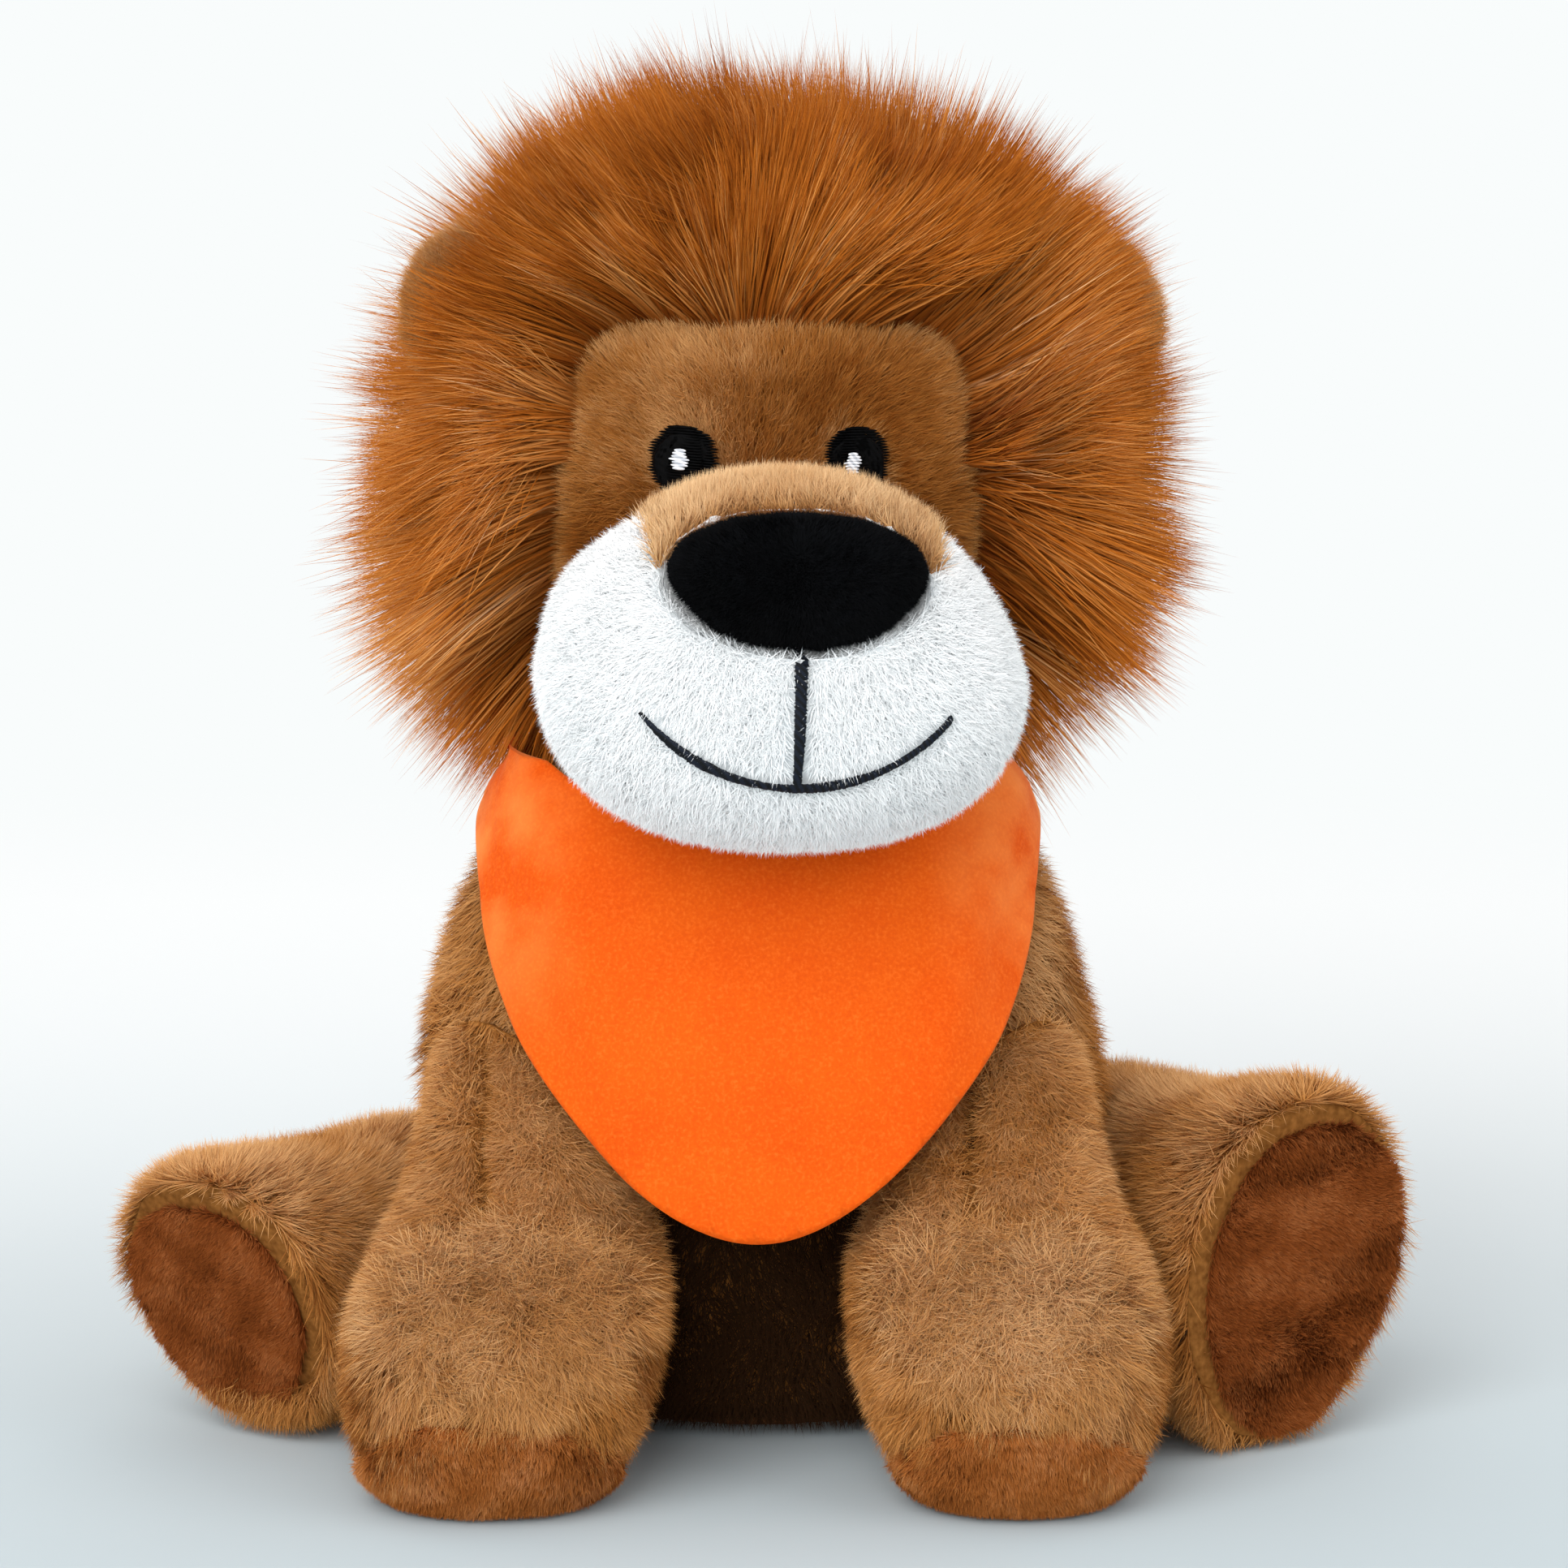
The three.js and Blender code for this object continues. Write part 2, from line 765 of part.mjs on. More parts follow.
function faceOutline(allowance) {
  const half = faceHalfWidth + allowance;
  const top = faceTop + allowance;
  const outline = new THREE.Shape();
  outline.moveTo(-half, muzzleBottom);
  outline.lineTo(half, muzzleBottom);
  outline.lineTo(half, top - faceCorner);
  outline.quadraticCurveTo(half, top, half - faceCorner, top);
  outline.lineTo(faceCorner - half, top);
  outline.quadraticCurveTo(-half, top, -half, top - faceCorner);
  return outline;
}

const facePrism = (allowance) => solid(frontPrism(faceOutline(allowance), -farAway, 0));
const skullShell = solid(skullForm).subtract(solid(inset(skullForm, plushThickness)));
const muzzleRoom = solid(inset(muzzleForm, -seamGap));
const foreheadPanel = skullShell
  .intersect(facePrism(0))
  .subtract(underHead)
  .subtract(neckPocket)
  .subtract(muzzleRoom);

// Muzzle: a white cover, a light bridge strip along its top and a bulging nose

const noseMiddle = noseBottom + noseMiddleShare * (noseTop - noseBottom);
const noseForm = drawnBall({
  middle: new THREE.Vector3(0, noseDepth / 2 - muzzleReach, noseMiddle),
  width: noseHalfWidth,
  front: noseDepth / 2,
  back: noseDepth / 2,
  up: noseTop - noseMiddle,
  down: noseMiddle - noseBottom,
  squareness: skullSquareness,
  sides: headSides,
  rings: smallRings,
});
const nosePlaces = noseForm.attributes.position;
for (let i = 0; i < nosePlaces.count; i += 1) {
  const low = Math.max(0, (noseMiddle - nosePlaces.getZ(i)) / (noseMiddle - noseBottom));
  nosePlaces.setX(i, nosePlaces.getX(i) * (1 - low * low * noseNarrowingShare));
}

function bridgeOutline(allowance) {
  const outline = new THREE.Shape();
  outline.moveTo(-bridgeBottomHalfWidth - allowance, bridgeBottom - allowance);
  outline.lineTo(bridgeBottomHalfWidth + allowance, bridgeBottom - allowance);
  outline.lineTo(bridgeTopHalfWidth + allowance, faceTop);
  outline.lineTo(-bridgeTopHalfWidth - allowance, faceTop);
  return outline;
}

const bridgePrism = (allowance) => solid(frontPrism(bridgeOutline(allowance), -farAway, 0));
const muzzleInside = solid(inset(muzzleForm, plushThickness)).subtract(underMuzzle(plushThickness));
const muzzleShell = solid(muzzleForm)
  .subtract(underMuzzle(0))
  .subtract(muzzleInside)
  .subtract(skullRoom);
const noseRoom = solid(inset(noseForm, -seamGap));
const nose = solid(noseForm)
  .intersect(solid(inset(muzzleForm, -noseBulge)))
  .subtract(solid(inset(muzzleForm, plushThickness / 2)));
const muzzleCover = muzzleShell.subtract(noseRoom).subtract(bridgePrism(seamGap));
const muzzleBridge = muzzleShell.subtract(noseRoom).intersect(bridgePrism(0));
const muzzleFilling = muzzleOf(headSides / 2, headRings / 2);
const muzzleStuffing = solid(inset(muzzleFilling, stuffingDepth))
  .subtract(underMuzzle(stuffingDepth))
  .subtract(skullRoom);

// Embroidery: raised thread that follows the form below it

function stitched(form, outline, base, middle) {
  const raised = solid(inset(form, -base - threadHeight));
  const layer = raised.subtract(solid(inset(form, -base)));
  return layer.intersect(solid(frontPrism(outline, -farAway, middle)));
}

function lineOutline(top, bottom, width) {
  const outline = new THREE.Shape();
  outline.moveTo(-width / 2, bottom);
  outline.lineTo(width / 2, bottom);
  outline.lineTo(width / 2, top);
  outline.lineTo(-width / 2, top);
  return outline;
}

function smileOutline() {
  const outline = new THREE.Shape();
  const middle = smileBottom + smileRadius;
  const start = -Math.PI / 2 - smileHalfAngle;
  const end = -Math.PI / 2 + smileHalfAngle;
  outline.absarc(0, middle, smileRadius + smileWidth / 2, start, end, false);
  outline.absarc(0, middle, smileRadius - smileWidth / 2, end, start, true);
  return outline;
}

const threadBase = seamGap;
const muzzleCentre = muzzleHalfLength - muzzleReach;
const lipTop = noseBottom - seamGap - threadHeight;
const lipBottom = smileBottom + smileWidth / 2 + seamGap;
const lipOutline = lineOutline(lipTop, lipBottom, lipLineWidth);
const lipLine = stitched(muzzleForm, lipOutline, threadBase, muzzleCentre);
const smile = stitched(muzzleForm, smileOutline(), threadBase, muzzleCentre);

function eyeParts(side) {
  const x = eyeShift + (side * eyeSpacing) / 2;
  const eyeOutline = ovalOutline(x, eyeHeight, eyeHalfWidth, eyeHalfHeight);
  const lightOutline = ovalOutline(
    x - highlightInset,
    eyeHeight + highlightInset,
    highlightHalfWidth,
    highlightHalfHeight,
  );
  const eye = stitched(skullForm, eyeOutline, threadBase, 0);
  const light = stitched(skullForm, lightOutline, threadBase + threadHeight + seamGap, 0);
  return { eye: eye.subtract(muzzleRoom), light: light.subtract(muzzleRoom) };
}

// Ears: a round cup with a thin lining, rooted in the seam between the mane's front and back

const earForm = drawnBall({
  middle: new THREE.Vector3(0, 0, earHalfLength - earHalfThickness),
  width: earHalfWidth,
  front: earHalfThickness,
  back: earHalfThickness,
  up: earHalfLength,
  down: earHalfLength,
  sides: smallSides,
  rings: smallRings,
});
const earDish = drawnBall({
  middle: new THREE.Vector3(0, -earHalfThickness, earHalfLength - earHalfThickness / 2),
  width: earHalfWidth - earDishRim,
  front: earDishDepth,
  back: earDishDepth,
  up: earHalfLength - earDishRim,
  down: earHalfLength - earDishRim - earHalfThickness,
  sides: smallSides,
  rings: smallRings,
});
const earBack = solid(earForm).subtract(solid(earDish));
const earLining = solid(inset(earDish, seamGap))
  .subtract(solid(earDish.clone().translate(0, -earLiningThickness, 0)))
  .intersect(solid(earForm));

function placeEar(geometry) {
  return geometry
    .rotateY(earTilt)
    .rotateZ(-earYaw)
    .translate(earRootOut, earRootBack, earRootUp);
}

function earPocket() {
  return placeEar(
    drawnBall({
      middle: new THREE.Vector3(0, 0, earHalfLength - earHalfThickness),
      width: earHalfWidth + earPocketSide,
      front: earPocketHalfDepth,
      back: earPocketHalfDepth,
      up: earPocketHalfLength,
      down: earHalfLength + seamGap,
      squareness: earPocketSquareness,
      sides: smallSides,
      rings: smallRings,
    }),
  );
}

// Mane: a left and a right half of long pile round the face, and a panel over the back

const maneForm = drawnBall({
  middle: new THREE.Vector3(maneShift, maneSetBack, maneMiddleHeight),
  width: maneHalfWidth,
  front: maneHalfDepth,
  back: maneHalfDepth,
  up: maneHalfHeight,
  down: maneHalfHeight,
  squareness: maneSquareness,
  sides: maneSides,
  rings: maneRings,
});
const rightPocket = solid(earPocket().translate(earShift, 0, 0));
const leftPocket = solid(mirrored(earPocket()).translate(earShift, 0, 0));
const mane = solid(maneForm)
  .subtract(solid(inset(skullForm, plushThickness)))
  .subtract(facePrism(seamGap))
  .subtract(muzzleRoom)
  .subtract(underHead)
  .subtract(neckPocket)
  .subtract(rightPocket)
  .subtract(leftPocket);

const headStuffing = solid(inset(skullOf(headSides / 2, headRings / 2), stuffingDepth))
  .subtract(underHead)
  .subtract(neckPocket)
  .subtract(rightPocket)
  .subtract(leftPocket);

function maneSide(low, high) {
  const from = new THREE.Vector3(low, -farAway, -farAway);
  const to = new THREE.Vector3(high, maneBackStart, farAway);
  return solid(block(from, to));
}

const maneRight = mane.intersect(maneSide(seamGap / 2, farAway));
const maneLeft = mane.intersect(maneSide(-farAway, -seamGap / 2));
const maneBack = mane.intersect(
  solid(
    block(
      new THREE.Vector3(-farAway, maneBackStart + seamGap, -farAway),
      new THREE.Vector3(farAway, farAway, farAway),
    ),
  ),
);

const head = new THREE.Group();
head.position.set(headShift, 0, neckHeight);
head.rotation.set(0, headRoll, headTurn, "ZYX");
head.add(
  mesh("head_stuffing", surface(headStuffing), 0xf2efe8, 1),
  mesh("forehead_panel", surface(foreheadPanel), 0x8f5a2a, 0.95),
  mesh("muzzle_cover", surface(muzzleCover), 0xf4f6f7, 0.95),
  mesh("muzzle_stuffing", surface(muzzleStuffing), 0xf2efe8, 1),
  mesh("muzzle_bridge", surface(muzzleBridge), 0xc99a63, 0.95),
  mesh("nose", surface(nose), 0x06090a, 0.9),
  mesh("lip_line", surface(lipLine), 0x0e1626, 0.8),
  mesh("smile_line", surface(smile), 0x0e1626, 0.8),
  mesh("mane_left", surface(maneLeft), 0xa85f1e, 0.9),
  mesh("mane_right", surface(maneRight), 0xa85f1e, 0.9),
  mesh("mane_back", surface(maneBack), 0x9a551b, 0.9),
);
for (const [name, side] of [["left", -1], ["right", 1]]) {
  const { eye, light } = eyeParts(side);
  const place = side < 0 ? mirrored : bare;
  const placeAt = (geometry) => place(geometry).translate(earShift, 0, 0);
  head.add(
    mesh(`eye_${name}`, surface(eye), 0x08090c, 0.6),
    mesh(`eye_light_${name}`, surface(light), 0xf5f5f5, 0.5),
    mesh(`ear_back_${name}`, placeAt(placeEar(surface(earBack))), 0xb0763c, 0.95),
    mesh(`ear_lining_${name}`, placeAt(placeEar(surface(earLining))), 0x6b3a14, 0.95),
  );
}

// Bandana: a triangle of velvet with a rounded tip, knotted at the nape

function bodyAt(z) {
  const above = Math.max(1, bodySections.findIndex((s) => s.z >= z));
  const upper = bodySections[above];
  const lower = bodySections[above - 1];
  const share = THREE.MathUtils.clamp((z - lower.z) / (upper.z - lower.z), 0, 1);
  const mix = (key) => THREE.MathUtils.lerp(lower[key], upper[key], share);
  return { width: mix("width"), depth: mix("depth"), y: mix("y") };
}

function bandanaPoint(side, [angle, top, bottom], row, lift) {
  const turn = THREE.MathUtils.degToRad(angle);
  const z = bandanaTop - bandanaDrop * THREE.MathUtils.lerp(top, bottom, row / bandanaRows);
  const below = bodyAt(z);
  const width = Math.max(below.width, bandanaNeckHalfWidth) + bandanaStandOff + lift;
  const depth = Math.max(below.depth, bandanaNeckHalfDepth) + bandanaStandOff + lift;
  const fall = (bandanaTop - z) / bandanaDrop;
  const forward = Math.max(0, Math.cos(turn));
  const drape = bandanaDrape * Math.pow(fall, bandanaDrapeFall) * Math.pow(forward, bandanaDrapeTurn);
  const across = Math.sin(turn);
  const along = Math.cos(turn);
  const reach = Math.pow(
    Math.pow(Math.abs(across), bodySquareness) + Math.pow(Math.abs(along), bodySquareness),
    -1 / bodySquareness,
  );
  return new THREE.Vector3(
    side * width * reach * across,
    below.y - depth * reach * along - drape,
    z,
  );
}

function bandanaGeometry() {
  const columns = [
    ...bandanaEdgeShares.slice(1).reverse().map((edge) => [-1, edge]),
    ...bandanaEdgeShares.map((edge) => [1, edge]),
  ];
  const points = [];
  for (const lift of [0, velvetThickness]) {
    for (const [side, edge] of columns) {
      for (let row = 0; row <= bandanaRows; row += 1) {
        points.push(bandanaPoint(side, edge, row, lift));
      }
    }
  }
  const rows = bandanaRows + 1;
  const outer = columns.length * rows;
  const faces = [];
  const quad = (a, b, c, d) => faces.push(a, b, c, a, c, d);
  for (let i = 0; i + 1 < columns.length; i += 1) {
    for (let row = 0; row < bandanaRows; row += 1) {
      const here = i * rows + row;
      quad(here, here + rows, here + rows + 1, here + 1);
      quad(outer + here, outer + here + 1, outer + here + rows + 1, outer + here + rows);
    }
    const top = i * rows;
    const bottom = top + bandanaRows;
    quad(top, outer + top, outer + top + rows, top + rows);
    quad(bottom, bottom + rows, outer + bottom + rows, outer + bottom);
  }
  const last = (columns.length - 1) * rows;
  for (let row = 0; row < bandanaRows; row += 1) {
    quad(row, row + 1, outer + row + 1, outer + row);
    quad(last + row, outer + last + row, outer + last + row + 1, last + row + 1);
  }
  const geometry = new THREE.BufferGeometry().setFromPoints(points);
  geometry.setIndex(faces);
  return geometry;
}

const bandana = bandanaGeometry();
const napeEdge = bandanaPoint(1, bandanaEdgeShares.at(-1), bandanaRows / 2, velvetThickness);
const knotForm = drawnBall({
  middle: new THREE.Vector3(0, napeEdge.y + knotHalfDepth / 2, napeEdge.z),
  width: knotHalfWidth,
  front: knotHalfDepth,
  back: knotHalfDepth,
  up: knotHalfHeight,
  down: knotHalfHeight,
  sides: smallSides,
  rings: smallRings,
});
const knot = solid(knotForm)
  .subtract(solid(inset(bandana, -seamGap)))
  .subtract(bodyRoom)
  .subtract(neckRoom);
body.add(
  mesh("bandana", bandana, 0xf26500, 0.85),
  mesh("bandana_knot", surface(knot), 0xf26500, 0.85),
);

const lion = new THREE.Group();
lion.add(
  body,
  addFrontLeg("front_leg_left", mirrored),
  addFrontLeg("front_leg_right", bare),
  addHindLeg("hind_leg_left", leftFootHalfHeight, leftSoleLean, leftFootFanShare, mirrored),
  addHindLeg("hind_leg_right", rightFootHalfHeight, rightSoleLean, rightFootFanShare, bare),
  tail,
  neck,
  head,
);

export default lion;
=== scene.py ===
import math
import random
from contextlib import contextmanager

import bmesh
import bpy
import numpy as np
from mathutils import Matrix, Vector
from mathutils.bvhtree import BVHTree
from mathutils.kdtree import KDTree


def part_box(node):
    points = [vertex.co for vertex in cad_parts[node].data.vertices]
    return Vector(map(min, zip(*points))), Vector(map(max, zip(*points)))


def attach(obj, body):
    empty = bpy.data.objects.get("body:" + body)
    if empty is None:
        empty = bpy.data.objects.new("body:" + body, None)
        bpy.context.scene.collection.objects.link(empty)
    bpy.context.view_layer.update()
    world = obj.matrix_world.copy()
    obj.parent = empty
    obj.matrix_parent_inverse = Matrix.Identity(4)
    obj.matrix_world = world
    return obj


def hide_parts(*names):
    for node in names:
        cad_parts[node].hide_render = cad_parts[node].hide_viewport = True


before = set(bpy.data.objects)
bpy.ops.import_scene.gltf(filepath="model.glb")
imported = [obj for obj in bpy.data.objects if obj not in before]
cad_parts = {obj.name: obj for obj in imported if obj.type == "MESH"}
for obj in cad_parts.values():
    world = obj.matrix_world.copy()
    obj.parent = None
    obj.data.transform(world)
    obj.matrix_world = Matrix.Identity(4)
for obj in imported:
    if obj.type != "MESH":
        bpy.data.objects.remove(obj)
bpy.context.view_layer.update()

MM = 0.001

# Camera
# A long lens 0.95 m from the toy and 10 degrees above it, aimed at the middle of the picture,
# which lies 4 mm to the right of the toy's own middle.

AIM = Vector((0.004, 0.0, 0.1018))
CAMERA_RISE = math.radians(10)
CAMERA_DISTANCE = 0.950


def placed(name, data):
    """A new object in the scene."""
    made = bpy.data.objects.new(name, data)
    bpy.context.scene.collection.objects.link(made)
    return made


camera = placed("camera", bpy.data.cameras.new("camera"))
camera.data.lens = 136.3
camera.data.sensor_width = 36
camera.data.clip_end = 20
camera.location = AIM + CAMERA_DISTANCE * Vector((0, -math.cos(CAMERA_RISE), math.sin(CAMERA_RISE)))
camera.rotation_euler = (math.pi / 2 - CAMERA_RISE, 0, 0)
bpy.context.scene.camera = camera

# Floor and light
# A sheet of pale paper that sweeps up behind the toy, blue-grey in front and glowing white away
# from it. A large soft lamp hangs above the camera, weaker ones stand at the right and low in
# front, and the sky is an even white.

PAPER_HALF_WIDTH = 8.0
SWEEP_START = 4.0
PAPER_TOP = 5.0
GREY_TO_WHITE = (-0.2, 0.42)
GLOW_RANGE = (0.16, 0.6)
SKY_STRENGTH = 0.8


def colour(hex_text):
    """An sRGB hex value as linear red, green, blue and alpha."""
    channels = [int(hex_text[i:i + 2], 16) / 255 for i in (1, 3, 5)]
    return [c / 12.92 if c <= 0.04045 else ((c + 0.055) / 1.055) ** 2.4 for c in channels] + [1.0]


def new_material(name):
    """A material with only its Principled shader left to set."""
    made = bpy.data.materials.new(name)
    made.use_nodes = True
    return made, made.node_tree.nodes["Principled BSDF"]


def plug(material, node, *inputs):
    """Sets a node's inputs, each by its name or number, to a value or to the output that feeds it."""
    for socket, source in inputs:
        if hasattr(source, "is_output"):
            material.node_tree.links.new(node.inputs[socket], source)
        else:
            node.inputs[socket].default_value = source


def add_node(material, kind, *inputs, **settings):
    """Adds one node."""
    node = material.node_tree.nodes.new("ShaderNode" + kind)
    for name, value in settings.items():
        setattr(node, name, value)
    plug(material, node, *inputs)
    return node


def worked_out(material, operation, *numbers):
    """The result of a sum on one or two numbers."""
    return add_node(material, "Math", *enumerate(numbers), operation=operation).outputs[0]


def ranged(material, value, low, high, top=1.0):
    """How far a value lies along a range, from 0 up to 1 or another top."""
    inputs = [("Value", value), ("From Min", low), ("From Max", high), ("To Max", top)]
    return add_node(material, "MapRange", *inputs).outputs["Result"]


def ramp(material, value, *stops):
    """The colour that a value picks from a row of (place, hex colour) stops."""
    node = add_node(material, "ValToRGB", ("Fac", value))
    for number, (position, hex_text) in enumerate(stops):
        if number >= len(node.color_ramp.elements):
            node.color_ramp.elements.new(position)
        node.color_ramp.elements[number].position = position
        node.color_ramp.elements[number].color = colour(hex_text)
    return node.outputs["Color"]


paper, shader = new_material("studio_paper")
place = add_node(paper, "TexCoord").outputs["Object"]
along = add_node(paper, "SeparateXYZ", ("Vector", place))
back = ranged(paper, along.outputs["Y"], *GREY_TO_WHITE)
tone = ramp(paper, back, (0.0, "#BCC9CE"), (0.3, "#CBD6DA"), (0.62, "#E6ECEE"), (1.0, "#FFFFFF"))
plug(paper, shader, ("Base Color", tone), ("Roughness", 0.7), ("Specular IOR Level", 0.2))
distance = add_node(paper, "VectorMath", (0, place), operation="LENGTH").outputs["Value"]
seen = add_node(paper, "LightPath").outputs
direct = worked_out(paper, "MAXIMUM", seen["Is Camera Ray"], seen["Is Glossy Ray"])
direct = worked_out(paper, "MAXIMUM", direct, seen["Is Transmission Ray"])
glow_share = worked_out(paper, "MULTIPLY", ranged(paper, distance, *GLOW_RANGE), direct)
glow = add_node(paper, "Emission", ("Color", colour("#F9FCFC")), ("Strength", 1.0))
mixed = add_node(paper, "MixShader", (0, glow_share), (1, shader.outputs[0]), (2, glow.outputs[0]))
plug(paper, paper.node_tree.nodes["Material Output"], ("Surface", mixed.outputs[0]))

sweep = bmesh.new()
edge = [sweep.verts.new((-PAPER_HALF_WIDTH, y, 0)) for y in (-PAPER_HALF_WIDTH, SWEEP_START)]
for a in np.linspace(0.2, math.pi / 2, 8):
    edge.append(sweep.verts.new((-PAPER_HALF_WIDTH, SWEEP_START + math.sin(a), 1 - math.cos(a))))
edge.append(sweep.verts.new((-PAPER_HALF_WIDTH, SWEEP_START + 1, PAPER_TOP)))
rail = [sweep.edges.new(pair) for pair in zip(edge, edge[1:])]
pulled = bmesh.ops.extrude_edge_only(sweep, edges=rail)["geom"]
pulled = [v for v in pulled if isinstance(v, bmesh.types.BMVert)]
bmesh.ops.translate(sweep, verts=pulled, vec=(2 * PAPER_HALF_WIDTH, 0, 0))
bmesh.ops.recalc_face_normals(sweep, faces=sweep.faces)
for face in sweep.faces:
    face.smooth = True
backdrop = placed("backdrop", bpy.data.meshes.new("backdrop"))
sweep.to_mesh(backdrop.data)
sweep.free()
backdrop.data.materials.append(paper)

for lamp_name, size, power, spot in [
    ("lamp_above_camera", 1.3, 15.5, (-0.55, -1.15, 0.95)),
    ("lamp_right", 0.9, 3.4, (1.2, -0.7, 0.7)),
    ("lamp_low_front", 1.0, 3.2, (-0.3, -1.35, 0.3)),
]:
    lamp = placed(lamp_name, bpy.data.lights.new(lamp_name, "AREA"))
    lamp.data.size = size
    lamp.data.energy = power
    lamp.location = spot
    lamp.rotation_euler = (AIM - lamp.location).to_track_quat("-Z", "Y").to_euler()

sky = bpy.data.worlds.new("white_sky")
sky.use_nodes = True
plug(sky, sky.node_tree.nodes["Background"], ("Color", colour("#FFFFFF")), ("Strength", SKY_STRENGTH))
bpy.context.scene.world = sky
bpy.context.scene.view_settings.view_transform = "Standard"

# Body ground
# The knitted ground cloth of the brown plush, sewn to a sack and filled with polyester fibre, with
# a bag of pellets in the seat. The pile hides it, so it lies one pile depth under the CAD surface.

PILE_DEPTH = 4.2 * MM
FLOOR_GAP = 0.3 * MM
LOOP_SIZE = 1.2 * MM
FINE_VOXEL = 1.2 * MM


@contextmanager
def mesh_of(obj):
    """Opens an object's mesh for changes."""
    form = bmesh.new()
    form.from_mesh(obj.data)
    yield form
    form.to_mesh(obj.data)
    form.free()


def joined_copy(name, nodes):
    """One new object from merged copies of CAD nodes."""
    made = placed(name, bpy.data.meshes.new(name))
    with mesh_of(made) as form:
        for node in nodes:
            form.from_mesh(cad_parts[node].data)
        bmesh.ops.remove_doubles(form, verts=form.verts, dist=0.01 * MM)
    return made


def apply_modifiers(obj):
    """Leaves the object with the mesh that its modifiers give."""
    graph = bpy.context.evaluated_depsgraph_get()
    finished = bpy.data.meshes.new_from_object(obj.evaluated_get(graph))
    obj.modifiers.clear()
    obj.data = finished


def outer_skin(form):
    """Removes the inner walls that a hollow solid has."""
    left = set(form.verts)
    skins = []
    while left:
        skin = set()
        front = [left.pop()]
        while front:
            vertex = front.pop()
            skin.add(vertex)
            for edge in vertex.link_edges:
                other = edge.other_vert(vertex)
                if other in left:
                    left.discard(other)
                    front.append(other)
        skins.append(skin)
    widest = max(skins, key=len)
    bmesh.ops.delete(form, geom=[v for v in form.verts if v not in widest], context="VERTS")


def hull(form):
    """Leaves the convex hull of a mesh."""
    made = bmesh.ops.convex_hull(form, input=form.verts)
    spare = {g for g in made["geom_interior"] + made["geom_unused"] if isinstance(g, bmesh.types.BMVert)}
    bmesh.ops.delete(form, geom=list(spare), context="VERTS")
    bmesh.ops.recalc_face_normals(form, faces=form.faces)


def relax(form, times):
    """Rounds a mesh off."""
    ways = {"use_axis_x": True, "use_axis_y": True, "use_axis_z": True}
    for _ in range(times):
        bmesh.ops.smooth_vert(form, verts=form.verts, factor=0.5, **ways)


def stuffed_form(name, nodes, depth=PILE_DEPTH, voxel=2.2 * MM, rounding=8, hulled=False, filled=None):
    """A stuffed piece of cloth: the outside of some CAD nodes, rounded, and moved in by a depth.
    The hollow between the points that filled picks is closed first."""
    made = joined_copy(name, nodes)
    with mesh_of(made) as form:
        if filled:
            bmesh.ops.convex_hull(form, input=[v for v in form.verts if filled(v.co)])
        if hulled:
            hull(form)
    remesh = made.modifiers.new("remesh", "REMESH")
    remesh.mode = "VOXEL"
    remesh.voxel_size = voxel
    apply_modifiers(made)
    with mesh_of(made) as form:
        outer_skin(form)
        relax(form, rounding)
        form.normal_update()
        for vertex, normal in [(v, v.normal.copy()) for v in form.verts]:
            vertex.co -= depth * normal
            vertex.co.z = max(vertex.co.z, FLOOR_GAP)
        relax(form, 2)
        for face in form.faces:
            face.smooth = True
    return made


def noise(material, grain, detail=2.0):
    """Soft random spots, each about as wide as the grain."""
    place = add_node(material, "TexCoord").outputs["Object"]
    inputs = [("Vector", place), ("Scale", 1 / grain), ("Detail", detail)]
    return add_node(material, "TexNoise", *inputs).outputs["Fac"]


def relief(material, height, strength, depth):
    """The surface directions of a fine relief."""
    inputs = [("Height", height), ("Strength", strength), ("Distance", depth)]
    return add_node(material, "Bump", *inputs).outputs["Normal"]


def knitted_ground(name, dark, light):
    """Knitted ground cloth: matt, with small loops that show between the tufts."""
    made, shader = new_material(name)
    loops = noise(made, LOOP_SIZE)
    plug(made, shader, ("Base Color", ramp(made, loops, (0.3, dark), (0.7, light))), ("Roughness", 0.95))
    plug(made, shader, ("Normal", relief(made, loops, 0.4, 0.3 * MM)), ("Specular IOR Level", 0.1))
    return made


def dress(piece, body, slot, *nodes):
    """Fixes a piece to its body and hides the CAD nodes that it stands for. The slot is not used."""
    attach(piece, body)
    if nodes:
        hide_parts(*nodes)


def dress_filled(piece, cloth, fill, body, slot, *nodes):
    """Gives a filled piece its cloth and its body. The fill is not used."""
    piece.data.materials.append(cloth)
    dress(piece, body, slot, *nodes)


brown_ground = knitted_ground("brown_knitted_plush_ground", "#6E4218", "#94602C")
body_ground = stuffed_form("body_ground", ["body_cover", "body_stuffing", "pellet_bag", "seat_panel"])
dress_filled(body_ground, brown_ground, 0.8, "body", "short_pile", "body_stuffing", "pellet_bag")

# Body pile
# Polyester pile, cut to about 7 mm and brushed down. Each blade stands for a few fibres that cling
# together. Its strand map runs from the root up in V, and U is its shade.

SHADES = 48
STRAND = 0.24 * MM
# How much painted light brightens blades on the top of a form.
PAINTED_TOP_LIGHT = 0.3
ROOT_TO_TIP = (0.05, 0.85)
BODY_PILE_COUNT = 150000
BODY_PILE_LENGTH = 5.8 * MM
PILE_LOW, COLLAR_TOP = 2 * MM, 107 * MM
UNDER_LEGS = 7 * MM
# Where the pile in the hollow between the front legs gets painted shade, and how strong it is.
HOLLOW_WIDE, HOLLOW_TOP, HOLLOW_BACK, HOLLOW_EDGE = 27 * MM, 70 * MM, 20 * MM, 10 * MM
HOLLOW_PAINTED_SHADE = 1.2
DOWN = np.array([0, 0, -1.0])


def unit(vectors):
    """The same directions, one long."""
    return vectors / np.maximum(np.linalg.norm(vectors, axis=-1, keepdims=True), 1e-12)


